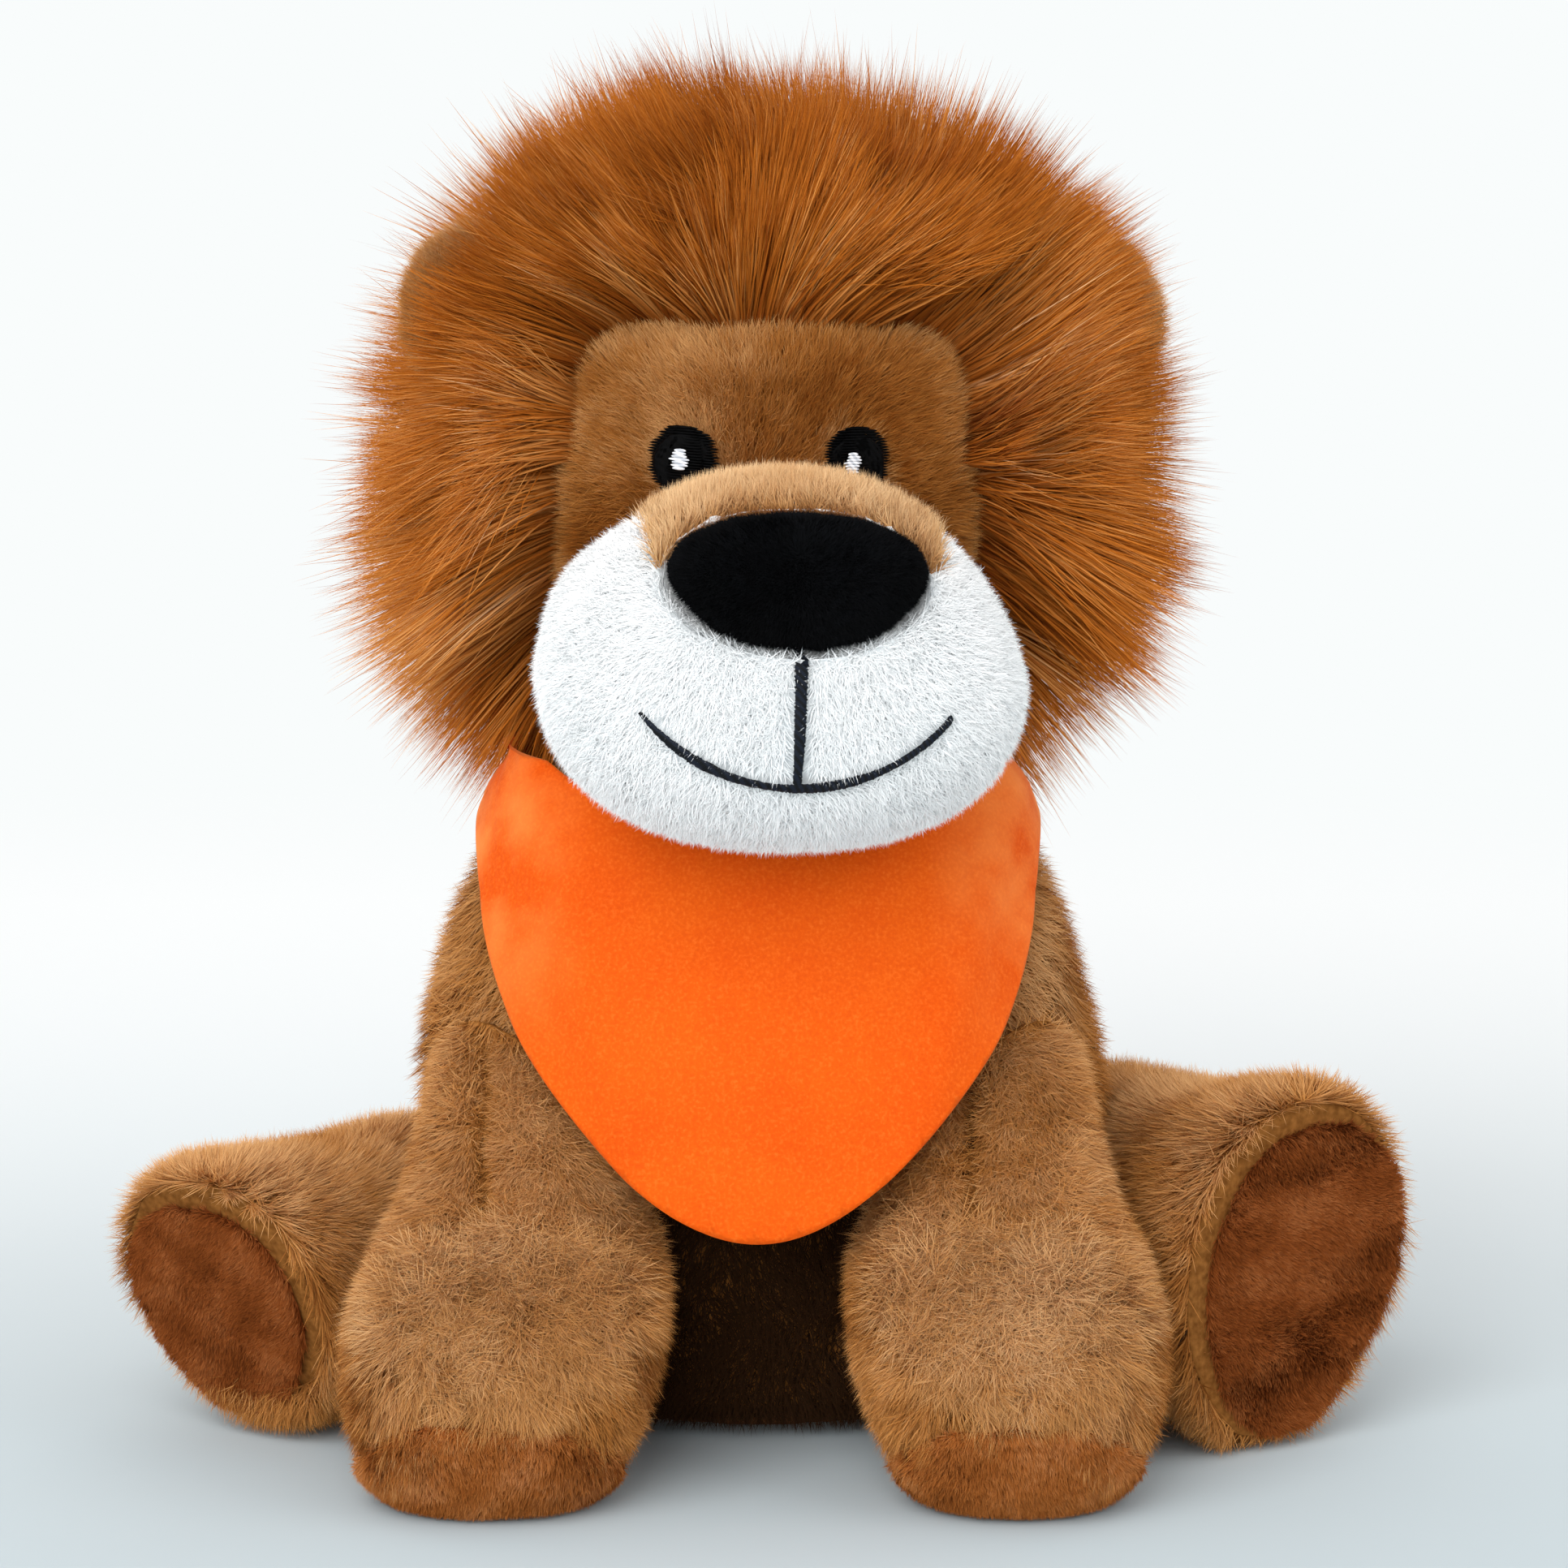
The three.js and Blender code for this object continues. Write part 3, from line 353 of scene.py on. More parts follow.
def across_to(vectors, normals):
    """What is left of some directions after their share along the normals is taken off."""
    return vectors - (vectors * normals).sum(1, keepdims=True) * normals


def faded(values, start, reach):
    """0 at the start and 1 from one reach on. A reach below zero runs downward."""
    return np.clip((values - start) / reach, 0, 1)


def waves(points, length, seed):
    """A smooth random vector at each point, from about -1 to 1, in swells of that length."""
    source = np.random.default_rng(seed)
    total = np.zeros_like(points)
    for _ in range(14):
        heading = source.normal(size=3)
        heading *= 2 * math.pi / (length * source.uniform(0.7, 1.6)) / np.linalg.norm(heading)
        total += np.sin(points @ heading + source.uniform(0, 2 * math.pi))[:, None] * source.normal(size=3)
    return total / 3.2


def read_list(items, key, kind, width=3):
    """One value of every vertex or triangle of a mesh, as rows of numbers."""
    found = np.zeros(len(items) * width, kind)
    items.foreach_get(key, found)
    return found.reshape(-1, width)


def scatter(obj, count, seed):
    """Random places, spread evenly over a mesh, and which way the surface faces there."""
    mesh = obj.data
    mesh.calc_loop_triangles()
    corners = read_list(mesh.loop_triangles, "vertices", np.int32)
    places = read_list(mesh.vertices, "co", np.float32).astype(float)
    facings = read_list(mesh.vertices, "normal", np.float32).astype(float)
    a, b, c = (places[corners[:, i]] for i in range(3))
    areas = np.linalg.norm(np.cross(b - a, c - a), axis=1) / 2
    source = np.random.default_rng(seed)
    picked = source.choice(len(areas), size=count, p=areas / areas.sum())
    share = np.sqrt(source.random(count))[:, None]
    other = source.random(count)[:, None]
    weights = (1 - share, share * (1 - other), share * other)
    roots = sum(w * places[corners[picked, i]] for i, w in enumerate(weights))
    normals = unit(sum(w * facings[corners[picked, i]] for i, w in enumerate(weights)))
    return roots, normals


def surface_of(thing):
    """A search tree of the faces of a piece, or of a CAD node by its name."""
    mesh = (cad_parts[thing] if isinstance(thing, str) else thing).data
    return BVHTree.FromPolygons([v.co for v in mesh.vertices], [p.vertices for p in mesh.polygons])


def inside_by(points, node):
    """How deep each point lies in a solid CAD node, less than zero outside it."""
    tree = surface_of(node)
    depths = np.empty(len(points))
    for i, point in enumerate(points):
        place, normal, _, distance = tree.find_nearest(point)
        depths[i] = distance if (place - Vector(point)).dot(normal) > 0 else -distance
    return depths


def distance_to(points, node):
    """How far each point lies from a CAD node's surface."""
    tree = surface_of(node)
    return np.array([tree.find_nearest(point)[3] for point in points])


def lies_under(roots, normals, node, reach):
    """Which places have a CAD node straight above them."""
    tree = surface_of(node)
    return np.array([tree.ray_cast(r, n, reach)[0] is not None for r, n in zip(roots, normals)])


def leaders(roots, every, seed):
    """For each fibre, the number of the fibre that leads its tuft."""
    source = np.random.default_rng(seed)
    chosen = source.choice(len(roots), size=max(1, len(roots) // every), replace=False)
    tree = KDTree(len(chosen))
    for number, leader in enumerate(chosen):
        tree.insert(roots[leader], number)
    tree.balance()
    return chosen[[tree.find(root)[1] for root in roots]]


def curved(roots, bends, tips, steps):
    """Curves from the roots to the tips, drawn towards the bends."""
    roots, bends, tips = roots[:, None], bends[:, None], tips[:, None]
    return (1 - steps) ** 2 * roots + 2 * steps * (1 - steps) * bends + steps ** 2 * tips


def blades(name, paths, across, widths, shades, material):
    """Flat blades that taper to a point. paths holds each blade's points, from root to tip."""
    count, levels = paths.shape[:2]
    paths[:, :, 2] = np.maximum(paths[:, :, 2], FLOOR_GAP)
    low = paths[:, :-1]
    sides = across[:, None, :] * widths[:, :, None]
    pairs = np.stack([low - sides, low + sides], axis=2).reshape(count, -1, 3)
    points = np.concatenate([pairs, paths[:, -1:]], axis=1)
    points[:, :, 2] = np.maximum(points[:, :, 2], FLOOR_GAP)
    each = points.shape[1]
    quads = [[2 * i, 2 * i + 1, 2 * i + 3, 2 * i + 2] for i in range(levels - 2)]
    pattern = np.array(sum(quads, []) + [each - 3, each - 2, each - 1])
    loops = ((np.arange(count) * each)[:, None] + pattern).ravel()
    starts = ((np.arange(count) * len(pattern))[:, None] + 4 * np.arange(levels - 1)).ravel()
    mesh = bpy.data.meshes.new(name)
    mesh.vertices.add(count * each)
    mesh.loops.add(len(loops))
    mesh.polygons.add(len(starts))
    mesh.vertices.foreach_set("co", points.astype(np.float32).ravel())
    mesh.loops.foreach_set("vertex_index", loops.astype(np.int32))
    mesh.polygons.foreach_set("loop_start", starts.astype(np.int32))
    mesh.polygons.foreach_set("use_smooth", np.ones(len(starts), bool))
    column = (np.clip(shades, 0, 0.999) * SHADES).astype(int)[:, None]
    u = (column + 0.5 + np.where(np.arange(each) % 2 == 0, -0.35, 0.35)) / SHADES
    u[:, -1] = (column[:, 0] + 0.5) / SHADES
    v = np.append(np.repeat(np.arange(levels - 1) / (levels - 1), 2), 1.0)
    strand = np.stack([u, np.broadcast_to(0.01 + 0.98 * v, u.shape)], axis=2).reshape(-1, 2)
    strand_map = mesh.uv_layers.new(name="OFBake")
    strand_map.data.foreach_set("uv", strand[loops].astype(np.float32).ravel())
    mesh.update(calc_edges=True)
    mesh.materials.append(material)
    return placed(name, mesh)


def pile(
    name, worn, roots, normals, comb, material, length, seed, lean=58, width=STRAND, swirl=0.3, ruffle=0.6,
    clump=0.14, every=60, share=0.5, shade_swell=26 * MM, levels=2,
):
    """Short pile: blades that leave the cloth along its normal, bend the way they are combed and
    gather in small tufts. worn is its body, its slot and the CAD nodes that it stands for."""
    source = np.random.default_rng(seed)
    comb = unit(across_to(comb, normals))
    turned = comb + swirl * waves(roots, 20 * MM, seed + 1) + 0.6 * swirl * waves(roots, 7 * MM, seed + 2)
    turned = unit(across_to(turned + ruffle * source.normal(size=roots.shape), normals))
    tilt = np.radians(np.clip(lean + 9 * source.normal(size=len(roots)), 5, 80))[:, None]
    reach = (length * source.uniform(0.72, 1.12, len(roots)))[:, None]
    tips = roots + reach * (np.cos(tilt) * normals + np.sin(tilt) * turned)
    leader = leaders(roots, every, seed + 3)
    tips += clump * (tips[leader] - tips)
    bends = roots + 0.45 * (tips - roots) + 0.2 * reach * normals
    paths = curved(roots, bends, tips, np.linspace(0, 1, levels)[None, :, None])
    run = unit(tips - roots)
    across = unit(across_to(unit(np.cross(run, normals)) + 0.4 * source.normal(size=roots.shape), run))
    taper = np.linspace(1, 0.55, levels - 1)
    widths = width / 2 * source.uniform(0.75, 1.25, len(roots))[:, None] * taper
    tuft_shade = source.normal(size=len(roots))[leader]
    own_shade = source.normal(size=len(roots))
    shades = share + 0.12 * waves(roots, shade_swell, seed + 4)[:, 0] + 0.1 * tuft_shade + 0.1 * own_shade
    # Painted light: blades on the upper faces of a form get a lighter shade, as if the lamp above lit them
    # more.
    shades = shades + PAINTED_TOP_LIGHT * np.clip(normals[:, 2], 0, 1)
    dress(blades(name, paths, across, widths, np.clip(shades, 0.01, 0.99), material), *worn)


def blend(material, share, first, second):
    """Two colours mixed."""
    inputs = [(0, share), (6, first), (7, second)]
    return add_node(material, "Mix", *inputs, data_type="RGBA").outputs[2]


def even(*colours):
    """A ramp's stops with the colours spread evenly."""
    return list(zip(np.linspace(0, 1, len(colours)), colours))


def plush(name, root_stops, tip_stops):
    """Cut polyester pile, brushed: dark down between the fibres and paler at the tips."""
    made, shader = new_material(name)
    strand = add_node(made, "UVMap", uv_map="OFBake").outputs["UV"]
    split = add_node(made, "SeparateXYZ", ("Vector", strand)).outputs
    low, high = (ramp(made, split["X"], *stops) for stops in (root_stops, tip_stops))
    blended = blend(made, ranged(made, split["Y"], *ROOT_TO_TIP), low, high)
    plug(made, shader, ("Base Color", blended), ("Roughness", 0.8), ("Specular IOR Level", 0.1))
    return made


# The near-black stops at 0 serve mostly the painted shade in the hollow between the legs.
tan_pile = plush(
    "tan_cut_polyester_pile",
    [(0.0, "#100803"), (0.15, "#945A26"), (1.0, "#BE8242")],
    [(0.0, "#160B05"), (0.15, "#AE6E30"), (0.5, "#CA8A48"), (1.0, "#E6B47C")],
)
roots, normals = scatter(body_ground, BODY_PILE_COUNT, seed=11)
shown = (roots[:, 2] > PILE_LOW) & (roots[:, 2] < COLLAR_TOP)
shown &= ~lies_under(roots, normals, "bandana", 12 * MM)
for side in ("left", "right"):
    shown &= inside_by(roots, f"front_leg_{side}_stuffing") < UNDER_LEGS
    shown &= inside_by(roots, f"hind_leg_{side}_stuffing") < UNDER_LEGS
roots, normals = roots[shown], normals[shown]
# Painted shade: the pile in the hollow between the front legs, low on the chest, darkens to near black as
# if shade fell there.
hollow = faded(np.abs(roots[:, 0]), HOLLOW_WIDE, -HOLLOW_EDGE)
hollow *= faded(roots[:, 2], HOLLOW_TOP, -HOLLOW_EDGE)
hollow *= faded(roots[:, 1], HOLLOW_BACK, -HOLLOW_EDGE)
share = 0.5 - HOLLOW_PAINTED_SHADE * hollow
worn = ("body", "short_pile", "body_cover")
pile("body_pile", worn, roots, normals, DOWN, tan_pile, BODY_PILE_LENGTH, seed=12, share=share)

# Seat panel
# An oval of firm plain-weave cloth that closes the body below, sewn in flat so that the toy sits.

THREAD_PITCH = 1.0 * MM
seat_panel = stuffed_form("seat_panel_cloth", ["seat_panel"], depth=0.0, voxel=1.5 * MM, rounding=2)
woven, shader = new_material("brown_plain_weave")
place = add_node(woven, "TexCoord").outputs["Object"]
inputs = [("Vector", place), ("Scale", 1 / THREAD_PITCH / (2 * math.pi)), ("Distortion", 0.4)]
threads = [add_node(woven, "TexWave", *inputs, bands_direction=way).outputs["Fac"] for way in ("X", "Y")]
crossed = worked_out(woven, "MULTIPLY", *threads)
tone = ramp(woven, crossed, (0.1, "#4E2C12"), (0.8, "#7A4A22"))
bumps = relief(woven, crossed, 0.5, 0.2 * MM)
plug(woven, shader, ("Base Color", tone), ("Normal", bumps), ("Roughness", 0.9))
dress_filled(seat_panel, woven, 0.3, "body", "short_pile", "seat_panel")

# Front legs
# Each is a firmly filled sleeve of tan plush with a paler panel over the paw. The pile is brushed
# down the leg and fans out over the toes. A rust pad of short nap closes it below.

LEG_PILE_COUNT = 150000
LEG_PILE_LOW = 1.5 * MM
SLEEVE_PILE, PAW_PILE = 5.8 * MM, 8 * MM
SHOULDER_LOW = 48 * MM
SHOULDER_UNDER = 8 * MM
CROWN = np.array([34, -18, 92]) * MM
SEAM_X = {"left": -42.0 * MM, "right": 33.0 * MM}
SEAM_HALF, FRINGE_REACH = 2.0 * MM, 4.5 * MM
FLARE_LENGTH = 26 * MM
PAW_AHEAD = Vector((0, -0.7, -0.7))
PAW_FAN = {"left": (-3.6, 0.0, 0.0), "right": (1.2, 0.0, 0.0)}
PAD_NAP_COUNT = 80000
PAD_NAP, PAD_EDGE = 2.4 * MM, 3.2 * MM
rust_ground = knitted_ground("rust_knitted_ground", "#6C3210", "#8E4A1C")
rust_nap = plush(
    "rust_short_brushed_nap", even("#7A3A10", "#A45A22"), even("#94501C", "#B87034", "#D4925A")
)
golden_pile = plush(
    "golden_cut_polyester_pile", even("#985E2C", "#C08652"), even("#B0763C", "#CE9658", "#EEC490")
)


def nearest_of(points, nodes):
    """For each point, the number of the CAD node that it is nearest to."""
    return np.argmin([distance_to(points, node) for node in nodes], axis=0)


def clamped(value):
    """The value, kept between 0 and 1."""
    return max(0.0, min(1.0, value))


def flared(obj, middle, ahead, wide, extra, forward=0.0):
    """Spreads a form round its sole's middle, towards the sole, and more so on one side. Its end
    face may move forward too."""
    with mesh_of(obj) as form:
        form.normal_update()
        for vertex, normal in [(v, v.normal.copy()) for v in form.verts]:
            offset = vertex.co - middle
            along = offset.dot(ahead)
            radial = (offset - along * ahead).normalized()
            near = clamped(1 + along / FLARE_LENGTH)
            vertex.co += near * (wide + max(0.0, radial.dot(extra.normalized())) * extra.length) * radial
            vertex.co += near * forward * clamped(2 * normal.dot(ahead)) * ahead
            vertex.co.z = max(vertex.co.z, FLOOR_GAP)


for side, mirror in (("left", -1), ("right", 1)):
    leg = f"front_leg_{side}"
    nodes = [f"{leg}_{part}" for part in ("sleeve", "paw_top", "paw_pad", "stuffing")]
    sleeve, paw_top, paw_pad, stuffing = nodes
    paw = (Vector(np.array(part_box(paw_pad)).mean(axis=0)), PAW_AHEAD, 0.0, Vector(PAW_FAN[side]) * MM)
    ground = stuffed_form(f"{leg}_ground", nodes, filled=lambda place: place.z > SHOULDER_LOW)
    flared(ground, *paw)
    dress_filled(ground, brown_ground, 0.9, leg, "short_pile", stuffing)
    roots, normals = scatter(ground, LEG_PILE_COUNT, seed=21 + mirror)
    shown = (roots[:, 2] > LEG_PILE_LOW) & (inside_by(roots, "body_stuffing") < SHOULDER_UNDER)
    roots, normals = roots[shown], normals[shown]
    panel = nearest_of(roots + PILE_DEPTH * normals, nodes[:3])
    comb = roots - CROWN * [mirror, 1, 1]
    seam = np.exp(-((roots[:, 0] - SEAM_X[side]) / SEAM_HALF) ** 2) * (normals[:, 1] < 0)
    fringe = np.exp(-distance_to(roots, paw_pad) / FRINGE_REACH)
    own = panel == 0
    pile(
        f"{sleeve}_pile", (leg, "short_pile", sleeve), roots[own], normals[own], comb[own], tan_pile,
        SLEEVE_PILE * (1 - 0.85 * seam[own] + 0.55 * fringe[own]), seed=23 + mirror,
        clump=(0.14 + 0.5 * fringe[own])[:, None], share=0.5 - 0.42 * seam[own],
    )
    own = panel == 1
    pile(
        f"{paw_top}_pile", (leg, "light_pile", paw_top), roots[own], normals[own], comb[own], golden_pile,
        PAW_PILE * (1 + 0.55 * fringe[own]), seed=28 + mirror, lean=64, ruffle=1.1,
        clump=(0.3 + 0.5 * fringe[own])[:, None], share=0.38,
    )
    pad = stuffed_form(f"{leg}_pad", [paw_pad], depth=1.2 * MM, voxel=FINE_VOXEL, rounding=3)
    flared(pad, *paw)
    dress_filled(pad, rust_ground, 0.6, leg, "rust_nap", paw_pad)
    roots, normals = scatter(pad, PAD_NAP_COUNT, seed=41 + mirror)
    shown = inside_by(roots, stuffing) < -PAD_EDGE
    shown &= roots[:, 2] > 1 * MM
    pile(
        f"{leg}_pad_nap", (leg, "rust_nap"), roots[shown], normals[shown], [0.2 * mirror, -0.3, -1.0],
        rust_nap, PAD_NAP, seed=43 + mirror, lean=40, every=16, clump=0.25, swirl=0.4, shade_swell=9 * MM,
    )

# Hind legs
# Filled sleeves of tan plush that lie forward and outward. A sole of rust nap closes each, a
# little below the rim, and the pile of the sleeve stands over its edge.

HIND_YAW = math.radians(33)
HIND_PILE, SOLE_NAP = 6 * MM, 2.2 * MM
HIP_UNDER, FRONT_LEG_UNDER = 14 * MM, 3 * MM
SOLE_NAP_COUNT = 100000
SOLE_BACKING = 2.6 * MM
THIGH_START = 16 * MM
FOOT_FAN = {"left": (0.0, 0.0, 0.5), "right": (2.4, 0.0, 1.6)}
FOOT_SPREAD = {"left": 0.5 * MM, "right": 2.2 * MM}
dark_rust_nap = plush(
    "dark_rust_short_brushed_nap", even("#5E2A0A", "#86441A"), even("#763A10", "#9A5222", "#BC7440")
)

for side, mirror in (("left", -1), ("right", 1)):
    leg = f"hind_leg_{side}"
    toward_sole = np.array([mirror * math.sin(HIND_YAW), -math.cos(HIND_YAW), 0])
    sole_middle = np.array(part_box(f"{leg}_sole")).mean(axis=0)
    spread = (Vector(sole_middle), Vector(toward_sole), FOOT_SPREAD[side], Vector(FOOT_FAN[side]) * MM)
    ground = stuffed_form(
        f"{leg}_ground",
        [f"{leg}_{part}" for part in ("sleeve", "sole", "stuffing")],
        depth=3.6 * MM,
        rounding=5,
        filled=lambda place: (place - spread[0]).dot(spread[1]) < -THIGH_START,
    )
    flared(ground, *spread, SOLE_BACKING)
    dress_filled(ground, brown_ground, 0.9, leg, "short_pile", f"{leg}_stuffing")
    roots, normals = scatter(ground, LEG_PILE_COUNT, seed=51 + mirror)
    shown = (roots[:, 2] > LEG_PILE_LOW) & (inside_by(roots, "body_stuffing") < HIP_UNDER)
    shown &= inside_by(roots, f"front_leg_{side}_stuffing") < FRONT_LEG_UNDER
    shown &= ~(((roots - sole_middle) @ toward_sole > -5 * MM) & (normals @ toward_sole > 0.75))
    pile(
        f"{leg}_pile", (leg, "short_pile", f"{leg}_sleeve"), roots[shown], normals[shown],
        DOWN - 0.3 * toward_sole, tan_pile, HIND_PILE, seed=53 + mirror, lean=50,
    )
    sole = stuffed_form(f"{leg}_sole_pad", [f"{leg}_sole"], depth=0.6 * MM, voxel=FINE_VOXEL, rounding=3)
    flared(sole, *spread)
    dress_filled(sole, rust_ground, 0.6, leg, "rust_nap", f"{leg}_sole")
    roots, normals = scatter(sole, SOLE_NAP_COUNT, seed=61 + mirror)
    shown = normals @ toward_sole > 0.25
    pile(
        f"{leg}_sole_nap", (leg, "rust_nap"), roots[shown], normals[shown], [0.3 * mirror, 0, -1.0],
        dark_rust_nap, SOLE_NAP, seed=63 + mirror, lean=40, every=16, clump=0.25, swirl=0.5,
        shade_swell=8 * MM,
    )

# Tail
# A slim sleeve of tan plush with a tuft of the mane's long pile at its end.

TAIL_PILE_COUNT, TAIL_PILE = 16000, 4.6 * MM
TUFT_HAIR_COUNT, TUFT_HAIR, TUFT_STRAND = 5000, 15 * MM, 0.5 * MM
mane_pile = plush(
    "rust_brown_long_polyester_pile",
    even("#6A2802", "#A65A18"),
    [(0.0, "#94480A"), (0.45, "#C67222"), (0.8, "#E4A058"), (1.0, "#F4C894")],
)

tail_ground = stuffed_form("tail_ground", ["tail_sleeve"], depth=2.5 * MM, voxel=FINE_VOXEL, rounding=4)
dress_filled(tail_ground, brown_ground, 0.9, "tail", "short_pile", "tail_sleeve")
roots, normals = scatter(tail_ground, TAIL_PILE_COUNT, seed=71)
pile("tail_pile", ("tail", "short_pile"), roots, normals, [0.1, 1.0, -0.1], tan_pile, TAIL_PILE, seed=72)
tuft_core = stuffed_form("tail_tuft_core", ["tail_tuft"], depth=6 * MM, voxel=1.5 * MM, rounding=4)
dress_filled(tuft_core, brown_ground, 0.9, "tail", "mane_pile", "tail_tuft")
roots, normals = scatter(tuft_core, TUFT_HAIR_COUNT, seed=73)
pile(
    "tail_tuft_hair", ("tail", "mane_pile"), roots, normals, [0.15, 1.0, -0.1], mane_pile, TUFT_HAIR,
    seed=74, lean=62, width=TUFT_STRAND, levels=4, clump=0.7, every=30,
)

# Neck
# The head is sewn on over a short round neck, which is filled firmly and covered in the brown plush.

NECK_PILE_COUNT, NECK_PILE = 30000, 6 * MM
neck = stuffed_form("neck_ground", ["neck_plug"], depth=1.0 * MM, voxel=2 * MM, rounding=2)
dress_filled(neck, brown_ground, 0.9, "neck", "short_pile", "neck_plug")
roots, normals = scatter(neck, NECK_PILE_COUNT, seed=76)
shown = np.abs(normals[:, 2]) < 0.8
roots, normals = roots[shown], normals[shown]
pile("neck_pile", ("neck", "short_pile"), roots, normals, DOWN, tan_pile, NECK_PILE, seed=77, share=0.3)

# Head
# A firmly filled sack under the mane and the face. The forehead and cheeks are short brown pile
# brushed up and outward from the eyes.

HEAD_PIVOT = np.array([-1, 0, 112]) * MM
HEAD_FRAME = Matrix.Rotation(math.radians(5), 3, "Z") @ Matrix.Rotation(math.radians(1.5), 3, "Y")
HEAD_TURN = np.array(HEAD_FRAME)
FACE_DEPTH = 4.5 * MM
FOREHEAD_PILE_COUNT, FOREHEAD_PILE = 260000, 5.6 * MM
EYE_LEVEL = 30 * MM
EYE_CLEAR = 0.9 * MM


def in_head(points):
    """World places in the head's own frame."""
    return (points - HEAD_PIVOT) @ HEAD_TURN


def spot_in_head(place):
    """One world place in the head's own frame."""
    return in_head(np.array(place)[None, :])[0]


def box_in_head(node):
    """The two corners of a CAD node's box in the head's own frame."""
    return [spot_in_head(corner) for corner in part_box(node)]


def from_head(vectors):
    """Directions of the head's own frame in the world."""
    return vectors @ HEAD_TURN.T


brown_pile = plush(
    "brown_cut_polyester_pile", even("#763C0E", "#AC6E34"), even("#924E14", "#BE7A36", "#EAB474")
)
skull = stuffed_form("head_ground", ["head_stuffing"], depth=-0.6 * MM, rounding=6, hulled=True)
dress_filled(skull, brown_ground, 0.95, "head", "dark_pile", "head_stuffing")

face_parts = ["forehead_panel", "mane_left", "mane_right", "mane_back", "muzzle_cover", "muzzle_bridge"]
roots, normals = scatter(skull, FOREHEAD_PILE_COUNT, seed=81)
outer = roots + FACE_DEPTH * normals
away = np.array([distance_to(outer, part) for part in face_parts])
local = in_head(roots)
own = (away.argmin(axis=0) == 0) & (local[:, 1] < 0)
rim = np.exp(-away[1:4].min(axis=0) / (3.5 * MM))
own &= inside_by(roots, "muzzle_stuffing") < -1 * MM
to_eyes = np.min([distance_to(outer, f"eye_{side}") for side in ("left", "right")], axis=0)
own &= to_eyes > EYE_CLEAR
eye_rim = np.exp(-((to_eyes - EYE_CLEAR) / (1.6 * MM)) ** 2)
brushed = from_head(np.stack([local[:, 0], 0 * local[:, 0], local[:, 2] - EYE_LEVEL], axis=1))
pile(
    "forehead_pile", ("head", "dark_pile", "forehead_panel"), roots[own], normals[own], brushed[own],
    brown_pile, FOREHEAD_PILE, seed=82, lean=42, ruffle=0.5,
    share=0.34 + np.maximum(0.65 * rim, 0.5 * eye_rim)[own],
)

# Muzzle
# A padded ball of short white pile, sewn to the head below the eyes. A strip of light tan pile
# runs over its top, brushed up between the eyes, and ends at a plump black plush nose.

MUZZLE_DEPTH = 2.4 * MM
MUZZLE_PILE_COUNT, MUZZLE_PILE = 230000, 3.4 * MM
BRIDGE_PILE, FINE_STRAND = 4.6 * MM, 0.2 * MM
BRIDGE_LEFT, BRIDGE_RIGHT = 2.2, 3.6
NOSE_PILE_COUNT, NOSE_PILE = 60000, 1.6 * MM
NOSE_DROP, NOSE_HALF = 1.6 * MM, 10 * MM
MUZZLE_TUCK, TUCK_START, TUCK_SLOPE = 12 * MM, -18 * MM, 0.55
WIDEST_GAP, GAP_BESIDE, SEAM_ALLOWANCE = 22 * MM, 18 * MM, 2 * MM
SEWN_BACK = HEAD_FRAME @ Vector((0, 1, 0))
CHEEK = Vector((-31, -42, 143)) * MM
CHEEK_SWELL, CHEEK_PUSH = 13 * MM, 3.2 * MM
LIP_CLEAR, SMILE_CLEAR, EDGE_CLEAR = 1.3 * MM, 1.2 * MM, 0.5 * MM
white_ground = knitted_ground("white_knitted_ground", "#E4E8EA", "#F4F7F8")
white_pile = plush(
    "white_cut_polyester_pile", even("#F0F3F4", "#F8FAFB"), even("#F8FAFB", "#FDFEFE", "#FFFFFF")
)
bridge_pile = plush(
    "light_tan_cut_polyester_pile", even("#94602C", "#C08E56"), even("#BC864C", "#D8A874", "#F0CC9C")
)
black_ground = knitted_ground("black_knitted_ground", "#040506", "#0A0C0E")
black_pile = plush(
    "black_cut_polyester_pile", even("#010102", "#050608"), even("#020203", "#050608", "#0C0E12")
)

skull_face = surface_of(skull)
nodes = ["muzzle_cover", "muzzle_stuffing", "muzzle_bridge"]
muzzle = stuffed_form("muzzle_ground", nodes, depth=MUZZLE_DEPTH, voxel=1.8 * MM)
with mesh_of(muzzle) as form:
    for vertex in form.verts:
        fuller = math.exp(-((vertex.co - CHEEK).length / CHEEK_SWELL) ** 2)
        vertex.co += CHEEK_PUSH * fuller * Vector((-0.9, -0.2, 0.4))
        _, y, z = map(float, spot_in_head(vertex.co))
        ahead_of_back = TUCK_START - TUCK_SLOPE * (z - 3 * MM) - y
        tuck = clamped(1 - ahead_of_back / MUZZLE_TUCK)
        tuck *= tuck * (3 - 2 * tuck)
        found = skull_face.ray_cast(vertex.co, SEWN_BACK)
        gap = min(found[3], WIDEST_GAP) if found[0] else GAP_BESIDE
        lower = 0.28 * clamped((z - 20 * MM) / (10 * MM))
        vertex.co += tuck * (gap + SEAM_ALLOWANCE) * (SEWN_BACK - Vector((0, 0, lower)))
    relax(form, 1)
dress_filled(muzzle, white_ground, 0.95, "head", "white_pile", "muzzle_stuffing")

